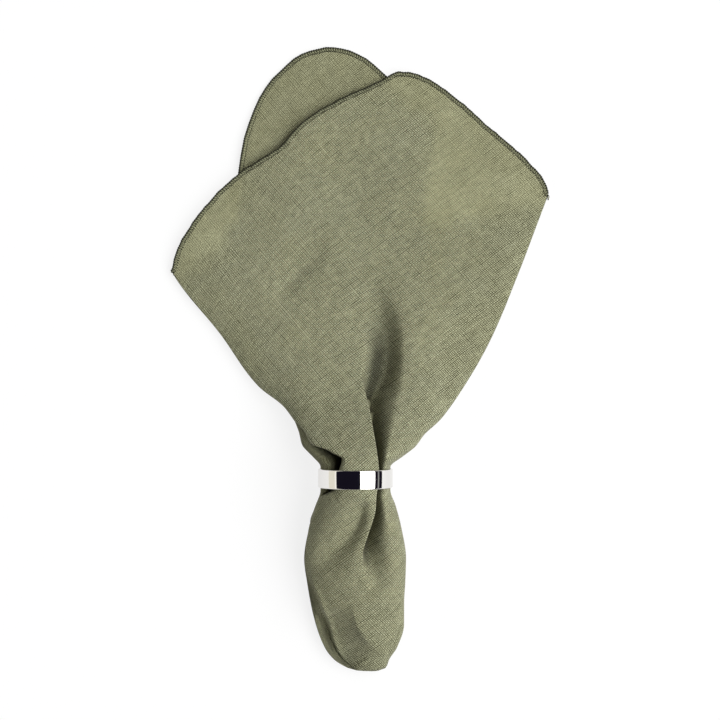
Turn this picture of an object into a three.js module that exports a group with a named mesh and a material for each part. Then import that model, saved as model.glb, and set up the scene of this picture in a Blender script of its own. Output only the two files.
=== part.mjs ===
// A square linen napkin, pinched at its middle, folded to and fro and drawn through a polished metal ring.
// It lies on a table: X to the right, Y from the closed tail to the open fan, Z up, in millimetres.
import * as THREE from "three";

// Driving dimensions
const CLOTH_THICKNESS = 1.0;
const HEM_THICKNESS = 1.2;
const LAYER_PITCH = 1.7;
const RING_OUTER_DIAMETER = 42;
const RING_WALL = 1.2;
const RING_WIDTH = 10.5;
const RING_EDGE_ROUND = 0.35;
const RING_FACETS = 96;
const RING_X = -2.5;
const RING_FROM_TIP = 110.75;
const CLOTH_TO_RING = 0.4;
const FAN_AXIS_X = -2.8;

// Sizes that follow from them
const RING_CENTRE_Z = (RING_OUTER_DIAMETER / 2) * Math.cos(Math.PI / RING_FACETS);
const BUNDLE_RADIUS = RING_OUTER_DIAMETER / 2 - RING_WALL - CLOTH_TO_RING - CLOTH_THICKNESS / 2;
const REST = CLOTH_THICKNESS / 2;
const NECK = {
  left: RING_X - BUNDLE_RADIUS,
  right: RING_X + BUNDLE_RADIUS,
  top: RING_CENTRE_Z + BUNDLE_RADIUS,
  waist: RING_CENTRE_Z,
  floor: RING_CENTRE_Z - BUNDLE_RADIUS,
};

// Sections from the tip of the tail, through the ring, to past the hem. "from" is the distance from the tip.
// left and right are the outline, top is the crown, waist the widest level and floor the lowest level.
// pleat is how far the inner folds reach in, from 0 to 1, and lip is where the front layer turns under.
const SECTIONS = [
  { from: 0, left: 0, right: 9, top: 8, waist: 6, floor: 4, pleat: 0, lip: 0.8 },
  { from: 2, left: -7, right: 14.5, top: 10.5, waist: 6, floor: 1.6, pleat: 0, lip: 0.8 },
  { from: 7, left: -14.9, right: 16.6, top: 14, waist: 6.5, floor: REST, pleat: 0, lip: 0.78 },
  { from: 14, left: -20, right: 21, top: 17.5, waist: 7.5, floor: REST, pleat: 0, lip: 0.77 },
  { from: 27, left: -24.8, right: 24.8, top: 21.5, waist: 9.5, floor: REST, pleat: 0.045, lip: 0.8 },
  { from: 40, left: -27.6, right: 24.8, top: 25, waist: 11, floor: REST, pleat: 0.33, lip: 0.83 },
  { from: 51, left: -29, right: 25.4, top: 27.5, waist: 12, floor: REST, pleat: 0.55, lip: 0.88 },
  { from: 65, left: -31, right: 25.8, top: 30.5, waist: 14, floor: REST, pleat: 0.78, lip: 0.87 },
  { from: 82, left: -29.3, right: 23.2, top: 34.5, waist: 16.5, floor: REST, pleat: 0.94, lip: 0.87 },
  { from: 95, left: -24.3, right: 19.5, top: 38, waist: 19.5, floor: 1.1, pleat: 1, lip: 0.87 },
  { from: 103, ...NECK, pleat: 1, lip: 0.87 },
  { from: 118.4, ...NECK, pleat: 1, lip: 0.87 },
  { from: 123, left: -26.5, right: 23.5, top: 39, waist: 20, floor: 1.4, pleat: 1, lip: 0.87 },
  { from: 129, left: -32, right: 30.5, top: 37, waist: 18, floor: 0.8, pleat: 1, lip: 0.88 },
  { from: 139, left: -35.4, right: 36.5, top: 33.5, waist: 15, floor: REST, pleat: 1, lip: 0.9 },
  { from: 154, left: -43.4, right: 48.2, top: 28.5, waist: 11, floor: REST, pleat: 1, lip: 0.94 },
  { from: 171, left: -57.5, right: 58.3, top: 24, waist: 8, floor: REST, pleat: 1, lip: 0.97 },
  { from: 205, left: -79.3, right: 75.2, top: 18, waist: 5, floor: REST, pleat: 1, lip: 0.99 },
  { from: 247, left: -107, right: 91.5, top: 14, waist: 3, floor: REST, pleat: 1, lip: 0.996 },
  { from: 294, left: -127, right: 108, top: 10, waist: 2, floor: REST, pleat: 1, lip: 0.996 },
  { from: 360, left: -155, right: 133, top: 8, waist: 2, floor: REST, pleat: 1, lip: 0.996 },
];

// Folds in their order around the cloth, with the side each one points to and its level down the stack.
// ring and fan are its places across the bundle and the open fan, 0 at the right edge and 1 at the left edge.
// reach is its hem's distance from the tip, swell the bow of the hem before it and steps the strips before it.
// The front layer has a lip, a hem and breaks of its own, and the lobe behind it has its own hem.
const FOLDS = [
  { name: "front left", side: 1, level: -0.45, fan: 0.996, reach: 250 },
  { name: "inner right 1", side: -1, level: 1, ring: 0.24, fan: 0.335, reach: 325, swell: -12, steps: 8 },
  { name: "left 1", side: 1, level: 2, ring: 0.92, fan: 0.79, reach: 268, steps: 9 },
  { name: "inner right 2", side: -1, level: 3, ring: 0.2, fan: 0.3, reach: 260, swell: -14, steps: 5 },
  { name: "left 2", side: 1, level: 4, ring: 0.91, fan: 0.815, reach: 255, swell: 32, steps: 5 },
  { name: "inner right 3", side: -1, level: 5, ring: 0.24, fan: 0.3, reach: 255, swell: -10, steps: 5 },
  { name: "left 3", side: 1, level: 6, ring: 0.85, fan: 0.855, reach: 253, swell: 34, steps: 5 },
  { name: "back right", side: -1, level: 7, ring: 0.02, fan: 0.004, reach: 294, swell: -22, steps: 7 },
];
const FRONT = 0;
const LOBE = 2;
const BACK = FOLDS.length - 1;

// Hem of the front layer and of the lobe behind it, as degrees left of straight up and distance from the tip.
const FRONT_HEM = [
  { lean: -22.2, reach: 294 },
  { lean: -16.2, reach: 314.4 },
  { lean: -9.5, reach: 334 },
  { lean: -6.2, reach: 341.8 },
  { lean: -4.4, reach: 343 },
  { lean: -2.4, reach: 336 },
  { lean: 2.7, reach: 322.4 },
  { lean: 5.5, reach: 313.8 },
  { lean: 8.6, reach: 300.3 },
  { lean: 13.2, reach: 292 },
  { lean: 17.4, reach: 280.6 },
  { lean: 23, reach: 261 },
  { lean: 25, reach: 250 },
];
const LOBE_HEM = [
  { lean: -6.4, reach: 325 },
  { lean: -3.2, reach: 339 },
  { lean: 0.9, reach: 355 },
  { lean: 3, reach: 357 },
  { lean: 5.1, reach: 354 },
  { lean: 7.1, reach: 346.5 },
  { lean: 9.2, reach: 333.5 },
  { lean: 12, reach: 308.7 },
  { lean: 13.2, reach: 293 },
  { lean: 15.1, reach: 268 },
];
const FAN_RIGHT_LEAN = -22.2;
const FAN_SPREAD_LEAN = 47.2;

// The main valley of the front layer: its sharp left edge, its floor and its right shoulder, and its depth.
const VALLEY = [
  { from: 0, edge: 2.5, floor: 5, shoulder: 8, depth: 0 },
  { from: 27, edge: 3, floor: 11, shoulder: 17, depth: 0 },
  { from: 40, edge: 3, floor: 11, shoulder: 18, depth: 1.5 },
  { from: 53, edge: 2.5, floor: 10, shoulder: 18, depth: 4 },
  { from: 69, edge: 4.5, floor: 9.4, shoulder: 18, depth: 6.5 },
  { from: 82, edge: 8, floor: 10.6, shoulder: 17, depth: 7.5 },
  { from: 95, edge: 9.2, floor: 11.2, shoulder: 15.5, depth: 5.5 },
  { from: 110, edge: 9, floor: 10.8, shoulder: 13.6, depth: 3.5 },
  { from: 124, edge: 9.5, floor: 12, shoulder: 17, depth: 6 },
  { from: 139, edge: 8, floor: 11.4, shoulder: 19, depth: 9 },
  { from: 152, edge: 5.2, floor: 11.4, shoulder: 22, depth: 9.5 },
  { from: 165, edge: 2.8, floor: 12, shoulder: 25, depth: 8.5 },
  { from: 180, edge: 3.5, floor: 13.5, shoulder: 27, depth: 7.5 },
  { from: 200, edge: 5.5, floor: 13.5, shoulder: 27, depth: 4 },
  { from: 217, edge: 8, floor: 13, shoulder: 27, depth: 1.6 },
  { from: 245, edge: 12, floor: 16, shoulder: 29, depth: 0 },
  { from: 360, edge: 25, floor: 29, shoulder: 40, depth: 0 },
];

// Softer hollows of the front layer, each along a line from start to end, in X and distance from the tip.
const HOLLOWS = [
  { name: "pocket over the ring", x0: -10, from0: 117, x1: -17, from1: 119, width: 4.5, depth: 6 },
  { name: "slant below the ring", x0: 2, from0: 98, x1: -17, from1: 71, width: 6, depth: 3.5 },
  { name: "left of the fan", x0: -50, from0: 214, x1: -20, from1: 240, width: 9, depth: 2.5 },
  { name: "right of the fan", x0: 72, from0: 250, x1: 62, from1: 222, width: 12, depth: 2 },
  { name: "foot of the tail", x0: -7, from0: 30, x1: 1, from1: 14, width: 6, depth: 2.6 },
];

// How the fan lies: the dome over its middle, and the lift of the front hem above the lobe.
const DOME = [
  { from: 120, rise: 9 },
  { from: 175, rise: 8.5 },
  { from: 215, rise: 5 },
  { from: 260, rise: 2 },
  { from: 330, rise: 0.5 },
];
const DOME_POWER = 0.6;
const INNER_DOME = 0.15;
const INNER_LEVEL = 0.25;
const STACK = {
  shut: { first: 0.13, last: 0.9, tilt: 0.8 },
  open: { first: 0.2, last: 0.85, tilt: 0.2 },
  pleat: 0.06,
};
const HEM_LIFT = { share: 0.6, spread: 0.13, rise: 3.5, run: 70 };
const RAMP = { share: 0.2, level: 10, reach: 70 };
const OPENING = { start: 113, end: 190 };
const BOW = { start: 116, end: 150 };
const FLAT_FOOT = { gain: 0.22, run: 24 };

// Mesh stations: distances from the tip up to the open fan, then shares of the way on to the hem.
const STATIONS = [0.5, 2, 5, 9, 15, 19, 24, 36, 45, 56, 68, 80, 91, 100, 104.5, 117, 121, 126,
  133, 142, 152, 163, 175, 190];
const HEM_SHARES = [0.13, 0.27, 0.42, 0.57, 0.72, 0.85, 0.94, 1];
const HEM_SEARCH = { start: 300, passes: 6 };
const FRONT_BREAKS = [
  { to: "shoulder", steps: 5 },
  { to: "floor", steps: 3 },
  { to: "edge", steps: 2 },
  { to: "end", steps: 12 },
];

// A smooth curve through one column of a table, with no overshoot between its rows.
function curve(rows, at, value) {
  const xs = rows.map((row) => row[at]);
  const ys = rows.map((row) => row[value]);
  const slopes = xs.slice(1).map((x, i) => (ys[i + 1] - ys[i]) / (x - xs[i]));
  const tangents = xs.map((x, i) => {
    if (i === 0) return slopes[0];
    if (i === xs.length - 1) return slopes[i - 1];
    const before = slopes[i - 1];
    const after = slopes[i];
    return before * after <= 0 ? 0 : (2 * before * after) / (before + after);
  });
  return (x) => {
    const clamped = THREE.MathUtils.clamp(x, xs[0], xs[xs.length - 1]);
    let i = 0;
    while (i < xs.length - 2 && clamped > xs[i + 1]) i += 1;
    const span = xs[i + 1] - xs[i];
    const t = (clamped - xs[i]) / span;
    const s = 1 - t;
    return (
      ys[i] * (1 + 2 * t) * s * s + tangents[i] * span * t * s * s +
      ys[i + 1] * (3 - 2 * t) * t * t - tangents[i + 1] * span * s * t * t
    );
  };
}

const { lerp, smoothstep } = THREE.MathUtils;
const outline = Object.fromEntries(
  ["left", "right", "top", "waist", "floor", "pleat", "lip"].map((key) => [key, curve(SECTIONS, "from", key)]),
);
const valley = Object.fromEntries(
  ["edge", "floor", "shoulder", "depth"].map((key) => [key, curve(VALLEY, "from", key)]),
);
const dome = curve(DOME, "from", "rise");
const frontHem = curve(FRONT_HEM, "lean", "reach");
const lobeHem = curve(LOBE_HEM, "lean", "reach");

// An arch that rises from 0 to 1 and falls back to 0.
function arch(t) {
  return Math.sin(Math.PI * t);
}

// Distance of the hem of one layer from the tip, at a share across the open fan.
function hemReach(layer, share) {
  const lean = FAN_RIGHT_LEAN + FAN_SPREAD_LEAN * share;
  if (layer === FRONT) return frontHem(lean);
  if (layer === LOBE) return lobeHem(lean);
  const end = FOLDS[layer];
  const start = FOLDS[layer - 1];
  const t = THREE.MathUtils.clamp((share - start.fan) / (end.fan - start.fan), 0, 1);
  return lerp(start.reach, end.reach, t) + end.swell * arch(t);
}

// One layer lifts what lies on it by a full pitch over its own area, and eases off around that area.
function plateau(layer, share, from) {
  const ends = [FOLDS[layer].fan, FOLDS[(layer + BACK) % FOLDS.length].fan];
  const right = Math.min(...ends);
  const left = Math.max(...ends);
  const level = hemReach(layer, THREE.MathUtils.clamp(share, right, left)) + RAMP.level;
  return (
    smoothstep(share, right - RAMP.share, right) *
    (1 - smoothstep(share, left, left + RAMP.share)) *
    (1 - smoothstep(from, level, level + RAMP.reach))
  );
}

// Depth of the valley and the hollows below the smooth crown of the front layer.
function sink(x, from) {
  const edge = valley.edge(from);
  const floor = valley.floor(from);
  const depth = valley.depth(from);
  const shape = x < floor ? smoothstep(x, edge, floor) : 1 - smoothstep(x, floor, valley.shoulder(from));
  const hollows = HOLLOWS.map((hollow) => {
    const along = new THREE.Vector2(hollow.x1 - hollow.x0, hollow.from1 - hollow.from0);
    const point = new THREE.Vector2(x - hollow.x0, from - hollow.from0);
    const t = THREE.MathUtils.clamp(point.dot(along) / along.lengthSq(), 0, 1);
    const away = point.addScaledVector(along, -t).length() / hollow.width;
    return hollow.depth * Math.exp(-away * away);
  });
  return depth * shape + hollows.reduce((sum, value) => sum + value, 0);
}

// The bundle is round in the ring. Beyond it the underside flattens on the table, from 0 to 1.
function footFlatness(from) {
  return smoothstep(Math.abs(from - RING_FROM_TIP), RING_WIDTH, RING_WIDTH + FLAT_FOOT.run);
}

// Height of one layer inside the gathered bundle, as one of its curved levels.
function bundleHeight(layer, x, from) {
  const left = outline.left(from);
  const right = outline.right(from);
  const waist = outline.waist(from);
  const offset = Math.min(Math.abs((2 * x - left - right) / (right - left)), 1);
  const level = layer === FRONT ? 1 : lerp(INNER_LEVEL, -1, (layer - 1) / (BACK - 1));
  if (level > 0) return waist + level * (outline.top(from) - waist) * Math.sqrt(1 - offset * offset);
  const flat = footFlatness(from);
  const power = 2 + flat;
  const round = Math.pow(1 - Math.pow(offset, power), 1 / power);
  return waist + level * (waist - outline.floor(from)) * Math.min(1, (1 + FLAT_FOOT.gain * flat) * round);
}

// Half the width of the bundle at a height, as a share of its widest half.
function bundleOffset(z, from) {
  const waist = outline.waist(from);
  if (z > waist) return Math.sqrt(1 - Math.min((z - waist) / (outline.top(from) - waist), 1) ** 2);
  const flat = footFlatness(from);
  const depth = (waist - z) / (waist - outline.floor(from)) / (1 + FLAT_FOOT.gain * flat);
  return Math.pow(1 - Math.min(depth, 1) ** (2 + flat), 1 / (2 + flat));
}

// Height of one layer in the open fan, where it lies on the layers below it.
function fanHeight(layer, share, from) {
  let height = REST;
  for (let below = layer + 1; below <= BACK; below += 1) {
    height += LAYER_PITCH * plateau(below, share, from);
  }
  const rank = layer === FRONT ? 1 : INNER_DOME * (1 - layer / BACK);
  height += rank * dome(from) * Math.pow(arch(THREE.MathUtils.clamp(share, 0, 1)), DOME_POWER);
  if (layer === FRONT) {
    const hem = frontHem(FAN_RIGHT_LEAN + FAN_SPREAD_LEAN * share);
    const near = smoothstep(from, hem - HEM_LIFT.run, hem);
    height += near * HEM_LIFT.rise * Math.exp(-(((share - HEM_LIFT.share) / HEM_LIFT.spread) ** 2));
  }
  return height;
}

// The middle surface of one layer at a place across its section.
function layerPoint(layer, x, from) {
  const left = outline.left(from);
  const right = outline.right(from);
  const share = (x - right) / (left - right);
  const open = smoothstep(from, OPENING.start, OPENING.end);
  const height = lerp(bundleHeight(layer, x, from), fanHeight(layer, share, from), open);
  const bow = smoothstep(from, BOW.start, BOW.end);
  const aside = x - FAN_AXIS_X;
  const y = lerp(from, Math.sqrt(Math.max(from * from - aside * aside, 0)), bow);
  return new THREE.Vector3(x, y - RING_FROM_TIP, layer === FRONT ? height - sink(x, from) : height);
}

// Place of a fold across the section at a distance from the tip.
function foldX(fold, from) {
  const row = FOLDS[fold];
  const open = smoothstep(from, OPENING.start, OPENING.end);
  const ring = fold === FRONT ? outline.lip(from) : row.ring;
  return lerp(outline.right(from), outline.left(from), lerp(ring, row.fan, open));
}

// Columns run from the tip to the hem: across each layer in turn, with one more at the tip of each fold.
// Those of the inner folds have a level and a tilt on the plain left side, where they all end at the tip.
function makeColumns() {
  const columns = [];
  FOLDS.forEach((row, layer) => {
    const breaks = layer === FRONT ? FRONT_BREAKS : [{ to: "end", steps: row.steps }];
    let start = "start";
    breaks.forEach(({ to, steps }) => {
      for (let i = start === "start" ? 0 : 1; i <= steps; i += 1) {
        const t = layer === BACK ? Math.sin((i / steps) * (Math.PI / 2)) : i / steps;
        columns.push({ layer, between: [start, to], t });
      }
      start = to;
    });
    columns.push({ fold: layer });
  });
  const inner = columns.filter(({ layer, fold }) => ![FRONT, BACK].includes(layer) && fold !== BACK);
  inner.forEach((column) => {
    column.level = column.fold === undefined ? column.layer - 0.5 : FOLDS[column.fold].level;
    column.tilt = column.t === undefined ? 0 : column.t - 0.5;
  });
  return columns;
}

// Place across the section of a named break of a layer.
function breakX(layer, name, from) {
  if (name === "start") return foldX((layer + BACK) % FOLDS.length, from);
  if (name === "end") return foldX(layer, from);
  return valley[name](from);
}

// The rounded tip of a fold joins the ends of the layers above and below it, inside the bundle's outline.
function foldTip(fold, from) {
  const x = foldX(fold, from);
  const tip = layerPoint(fold, x, from);
  const lower = layerPoint((fold + 1) % FOLDS.length, x, from);
  const reach = Math.abs(tip.z - lower.z) / 2;
  tip.lerp(lower, 0.5);
  const left = outline.left(from);
  const right = outline.right(from);
  const room = ((right - left) / 2) * bundleOffset(tip.z, from) - Math.abs(x - (left + right) / 2);
  const open = smoothstep(from, OPENING.start, OPENING.end);
  tip.x -= FOLDS[fold].side * Math.min(reach, lerp(Math.max(room, REST), LAYER_PITCH / 2, open));
  return tip;
}

// A place on the plain left side of the tail, from the front layer's lip down to the back layer.
function sidePoint(down, from) {
  const left = outline.left(from);
  const right = outline.right(from);
  const waist = outline.waist(from);
  const lip = bundleHeight(FRONT, foldX(FRONT, from), from);
  const foot = bundleHeight(BACK, foldX(BACK - 1, from), from);
  const z = lerp(lip, foot, down);
  const x = (left + right) / 2 + ((left - right) / 2) * bundleOffset(z, from);
  const sunk = sink(x, from) * Math.max((z - waist) / (lip - waist), 0);
  return new THREE.Vector3(x, from - RING_FROM_TIP, z - sunk);
}

// Place of a column at a distance from the tip. In the tail its inner folds grow out of the plain side.
function columnPoint(column, from) {
  let point;
  if (column.fold !== undefined) {
    point = foldTip(column.fold, from);
  } else {
    const [a, b] = column.between;
    const x = lerp(breakX(column.layer, a, from), breakX(column.layer, b, from), column.t);
    point = layerPoint(column.layer, x, from);
  }
  if (column.level === undefined) return point;
  const pleat = outline.pleat(from);
  const down = ({ first, last, tilt }) => lerp(first, last, (column.level + column.tilt * tilt) / (BACK - 1));
  const opened = smoothstep(pleat, 0, STACK.pleat);
  return sidePoint(lerp(down(STACK.shut), down(STACK.open), opened), from).lerp(point, pleat);
}

// Distance from the tip of a column's place on a row: common stations first, then on to its own hem.
function columnReach(column, row) {
  if (row < STATIONS.length) return STATIONS[row];
  const last = STATIONS[STATIONS.length - 1];
  return lerp(last, columnHem(column), HEM_SHARES[row - STATIONS.length]);
}

function columnHem(column) {
  const layer = column.fold !== undefined ? column.fold : column.layer;
  if (column.fold !== undefined) return hemReach(layer, FOLDS[layer].fan);
  let reach = HEM_SEARCH.start;
  for (let i = 0; i < HEM_SEARCH.passes; i += 1) {
    const [a, b] = column.between;
    const x = lerp(breakX(layer, a, reach), breakX(layer, b, reach), column.t);
    const share = (x - outline.right(reach)) / (outline.left(reach) - outline.right(reach));
    reach = hemReach(layer, share);
  }
  return reach;
}

// The middle surface as closed loops of points, one loop for each row from the tip to the hem.
function makeLoops(columns) {
  const rows = STATIONS.length + HEM_SHARES.length;
  return Array.from({ length: rows }, (_, row) =>
    columns.map((column) => {
      const point = columnPoint(column, columnReach(column, row));
      return point.setZ(Math.max(point.z, halfThickness(row, rows)));
    }),
  );
}

// Half the sheet's thickness on one row. The overlocked hem is a little thicker than the cloth.
function halfThickness(row, rows) {
  return row === rows - 1 ? HEM_THICKNESS / 2 : CLOTH_THICKNESS / 2;
}

// Moves every loop to one face of the sheet: side 1 is the outside of the bag, side -1 the inside.
function offsetLoops(loops, side) {
  const rows = loops.length;
  const count = loops[0].length;
  return loops.map((loop, row) =>
    loop.map((point, i) => {
      const around = loop[(i + 1) % count].clone().sub(loop[(i + count - 1) % count]);
      const along = loops[Math.min(row + 1, rows - 1)][i].clone().sub(loops[Math.max(row - 1, 0)][i]);
      const normal = along.cross(around).normalize();
      return point.clone().addScaledVector(normal, side * halfThickness(row, rows));
    }),
  );
}

// Closes the outside, the hem and the inside into one sheet, with a point at each end of the tip.
function sheetGeometry(loops) {
  const outside = offsetLoops(loops, 1);
  const inside = offsetLoops(loops, -1).reverse();
  const skin = [...outside, ...inside];
  const count = loops[0].length;
  const vertices = skin.flat();
  const centre = loops[0].reduce((sum, point) => sum.add(point), new THREE.Vector3()).divideScalar(count);
  const triangles = [];
  for (let row = 0; row < skin.length - 1; row += 1) {
    for (let i = 0; i < count; i += 1) {
      const a = row * count + i;
      const b = row * count + ((i + 1) % count);
      if (row < loops.length) triangles.push([a, a + count, b], [b, a + count, b + count]);
      else triangles.push([a, a + count, b + count], [a, b + count, b]);
    }
  }
  [0, skin.length - 1].forEach((row) => {
    const pole = vertices.length;
    const step = row === 0 ? -CLOTH_THICKNESS : CLOTH_THICKNESS;
    vertices.push(centre.clone().setY(centre.y + step / 2));
    for (let i = 0; i < count; i += 1) {
      const a = row * count + i;
      const b = row * count + ((i + 1) % count);
      triangles.push(row === 0 ? [a, b, pole] : [b, a, pole]);
    }
  });
  const geometry = new THREE.BufferGeometry().setFromPoints(vertices);
  geometry.setIndex(triangles.flat());
  return geometry;
}

// The ring is a flat band with softly rounded rims, turned about the napkin's length.
function ringGeometry() {
  const outer = RING_OUTER_DIAMETER / 2;
  const inner = outer - RING_WALL;
  const half = RING_WIDTH / 2;
  const soft = RING_EDGE_ROUND;
  const profile = [
    new THREE.Vector2(inner + soft, -half),
    new THREE.Vector2(outer - soft, -half),
    new THREE.Vector2(outer, -half + soft),
    new THREE.Vector2(outer, half - soft),
    new THREE.Vector2(outer - soft, half),
    new THREE.Vector2(inner + soft, half),
    new THREE.Vector2(inner, half - soft),
    new THREE.Vector2(inner, -half + soft),
    new THREE.Vector2(inner + soft, -half),
  ];
  return new THREE.LatheGeometry(profile, RING_FACETS);
}

const linen = new THREE.MeshStandardMaterial({ color: 0x86866b, roughness: 0.9, metalness: 0 });
const polishedMetal = new THREE.MeshStandardMaterial({ color: 0xd6d4d0, roughness: 0.08, metalness: 1 });

const napkin = new THREE.Mesh(sheetGeometry(makeLoops(makeColumns())), linen);
napkin.name = "napkin";

const ring = new THREE.Mesh(ringGeometry(), polishedMetal);
ring.name = "ring";
ring.rotation.y = Math.PI / RING_FACETS;
ring.position.set(RING_X, 0, RING_CENTRE_Z);

// The origin is the middle of the part's box, on the table.
const part = new THREE.Group();
part.add(napkin, ring);
const box = new THREE.Box3().setFromObject(part, true);
const middle = box.getCenter(new THREE.Vector3());
part.position.set(-middle.x, -middle.y, -box.min.z);

export default part;
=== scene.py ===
"""A linen napkin drawn through a polished ring, lying on a pale table in soft studio light."""

import logging
import math
from dataclasses import dataclass
from enum import Enum, IntEnum
from typing import Any, NamedTuple, Sequence

import bpy
import numpy as np
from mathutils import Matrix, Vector


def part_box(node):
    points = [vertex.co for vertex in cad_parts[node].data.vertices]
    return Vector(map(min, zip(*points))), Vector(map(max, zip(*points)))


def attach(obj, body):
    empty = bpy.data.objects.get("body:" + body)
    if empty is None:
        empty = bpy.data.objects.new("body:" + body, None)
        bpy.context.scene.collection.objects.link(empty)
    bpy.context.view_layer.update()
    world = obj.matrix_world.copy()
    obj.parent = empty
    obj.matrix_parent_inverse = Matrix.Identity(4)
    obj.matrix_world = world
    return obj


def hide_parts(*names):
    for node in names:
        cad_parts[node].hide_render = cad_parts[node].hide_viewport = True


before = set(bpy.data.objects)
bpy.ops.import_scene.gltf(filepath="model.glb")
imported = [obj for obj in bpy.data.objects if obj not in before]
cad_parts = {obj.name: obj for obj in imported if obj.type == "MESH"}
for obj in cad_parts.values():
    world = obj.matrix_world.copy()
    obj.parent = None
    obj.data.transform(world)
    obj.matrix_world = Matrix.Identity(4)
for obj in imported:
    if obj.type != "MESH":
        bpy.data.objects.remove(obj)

MM = 0.001
LOG = logging.getLogger("napkin")
Array = np.ndarray
Colour = tuple[float, float, float, float]


# Numbers along and across the cloth


def smooth(x: Array, low: Array, high: Array) -> Array:
    """Eases from 0 at low to 1 at high.

    Args:
        x: Values to ease.
        low: Where the ease starts.
        high: Where the ease ends.

    Returns:
        Eased values from 0 to 1.
    """
    t = np.clip((x - low) / (high - low), 0.0, 1.0)
    return t * t * (3.0 - 2.0 * t)


def mix(a: Array, b: Array, t: Array) -> Array:
    """Gives the value a share t of the way from a to b."""
    return a + (b - a) * t


class Curve:
    """A smooth curve through the rows of a table, with no overshoot between them."""

    def __init__(self, xs: Sequence[float], ys: Sequence[float]) -> None:
        """Works out the curve's slopes.

        Args:
            xs: Places of the rows, rising.
            ys: Values at those places.
        """
        self.xs = np.asarray(xs, float)
        self.ys = np.asarray(ys, float)
        slopes = np.diff(self.ys) / np.diff(self.xs)
        before, after = slopes[:-1], slopes[1:]
        turns = before * after <= 0
        inner = np.where(turns, 0.0, 2.0 * before * after / np.where(turns, 1.0, before + after))
        self.slopes = np.concatenate((slopes[:1], inner, slopes[-1:]))

    def __call__(self, x: Array) -> Array:
        """Reads the curve.

        Args:
            x: Places to read it at, held inside the table.

        Returns:
            Values at those places.
        """
        x = np.clip(x, self.xs[0], self.xs[-1])
        i = np.clip(np.searchsorted(self.xs, x) - 1, 0, len(self.xs) - 2)
        span = self.xs[i + 1] - self.xs[i]
        t = (x - self.xs[i]) / span
        s = 1.0 - t
        return (
            self.ys[i] * (1 + 2 * t) * s * s + self.slopes[i] * span * t * s * s
            + self.ys[i + 1] * (3 - 2 * t) * t * t - self.slopes[i + 1] * span * s * t * t
        )


def curves_of(rows: Sequence[NamedTuple]) -> dict[str, Curve]:
    """Makes a curve of each column of a table over its first column.

    Args:
        rows: The table.

    Returns:
        The curves by the names of their columns.
    """
    names = rows[0]._fields
    places = [row[0] for row in rows]
    return {name: Curve(places, [getattr(row, name) for row in rows]) for name in names[1:]}


def curve_of(*rows: tuple[float, float]) -> Curve:
    """Makes a curve of pairs of a place and a value."""
    return Curve(*zip(*rows))


# How the cloth lies, in millimetres, with X from the middle of the fan and reach from the tip of the tail


class Section(NamedTuple):
    """One cross-section: its outline, crown, widest level, lowest level and depth of pleats."""

    reach: float
    left: float
    right: float
    top: float
    waist: float
    floor: float
    pleat: float


class Fold(NamedTuple):
    """One fold of the stack: the side it points to, its level, its places, its hem and its columns."""

    side: int
    level: float
    ring: float
    fan: float
    reach: float
    swell: float
    columns: int


class ValleyRow(NamedTuple):
    """The main valley: its left edge, floor, right shoulder, depth, undercut and crispness of its edge."""

    reach: float
    edge: float
    floor: float
    shoulder: float
    depth: float
    undercut: float
    crisp: float


class Crease(NamedTuple):
    """A place on a soft trough, or with a negative depth on a ridge, and its width to both sides.

    With no width to its left the cloth falls away to the right alone.
    """

    x: float
    reach: float
    left: float
    right: float
    depth: float


class Rows(NamedTuple):
    """A stretch of the napkin's length with evenly spaced rows of the mesh."""

    end: float
    count: int


class Ripple(NamedTuple):
    """A slow wave in the slack cloth: the way it runs, its length, its height and its start."""

    heading: float
    length: float
    height: float
    start: float


class Layer(IntEnum):
    """Layers of the cloth that are treated on their own."""

    FRONT = 0
    LOBE = 2
    BACK = 7


class Break(Enum):
    """Places across one layer where its strips of columns meet."""

    START = "start"
    SHOULDER = "shoulder"
    FLOOR = "floor"
    EDGE = "edge"
    END = "end"


REST = 0.35
RING_X = -2.5
RING_REACH = 110.75
RING_WIDTH = 10.5
NECK_RADIUS = 19.3
NECK_Z = 21.0
NECK_TOP = NECK_Z + NECK_RADIUS
NECK_FLOOR = NECK_Z - NECK_RADIUS
NECK_LEFT = RING_X - NECK_RADIUS
NECK_RIGHT = RING_X + NECK_RADIUS

SECTIONS = (
    Section(0, 0, 9, 8, 6, 4, 0),
    Section(2, -7, 14.5, 10.5, 6, 1.6, 0),
    Section(7, -14.9, 16.6, 14, 6.5, REST, 0),
    Section(14, -20, 21, 17.5, 7.5, REST, 0),
    Section(27, -24.8, 24.8, 21.5, 9.5, REST, 0),
    Section(40, -27.8, 24.8, 25, 11, REST, 0),
    Section(51, -29.6, 25.4, 27.5, 12, REST, 0),
    Section(65, -31.4, 25.8, 30.5, 14, REST, 0.12),
    Section(82, -29.2, 23.2, 34.5, 16.5, REST, 0.6),
    Section(95, -24.7, 19.8, 38, 19.5, 1.1, 1),
    Section(104, NECK_LEFT, NECK_RIGHT, NECK_TOP, NECK_Z, NECK_FLOOR, 1),
    Section(112, NECK_LEFT, NECK_RIGHT, NECK_TOP, NECK_Z, NECK_FLOOR, 1),
    Section(117, NECK_LEFT, NECK_RIGHT, NECK_TOP, NECK_Z, NECK_FLOOR, 1),
    Section(123, -26.3, 23.5, 39, 20, 1.4, 1),
    Section(126, -29.2, 27.2, 38, 19, 1.1, 1),
    Section(130, -32.4, 31.2, 36.6, 17.7, 0.8, 1),
    Section(139, -35, 36.5, 33.5, 15, REST, 1),
    Section(154, -42.9, 48.2, 28.5, 11, REST, 1),
    Section(171, -58.2, 58.3, 23.5, 8, REST, 1),
    Section(205, -78.8, 75.2, 17, 5, REST, 1),
    Section(247, -106, 91.5, 12, 3, REST, 1),
    Section(294, -127, 108.4, 9, 2, REST, 1),
    Section(360, -155, 133, 7, 2, REST, 1),
)

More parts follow.
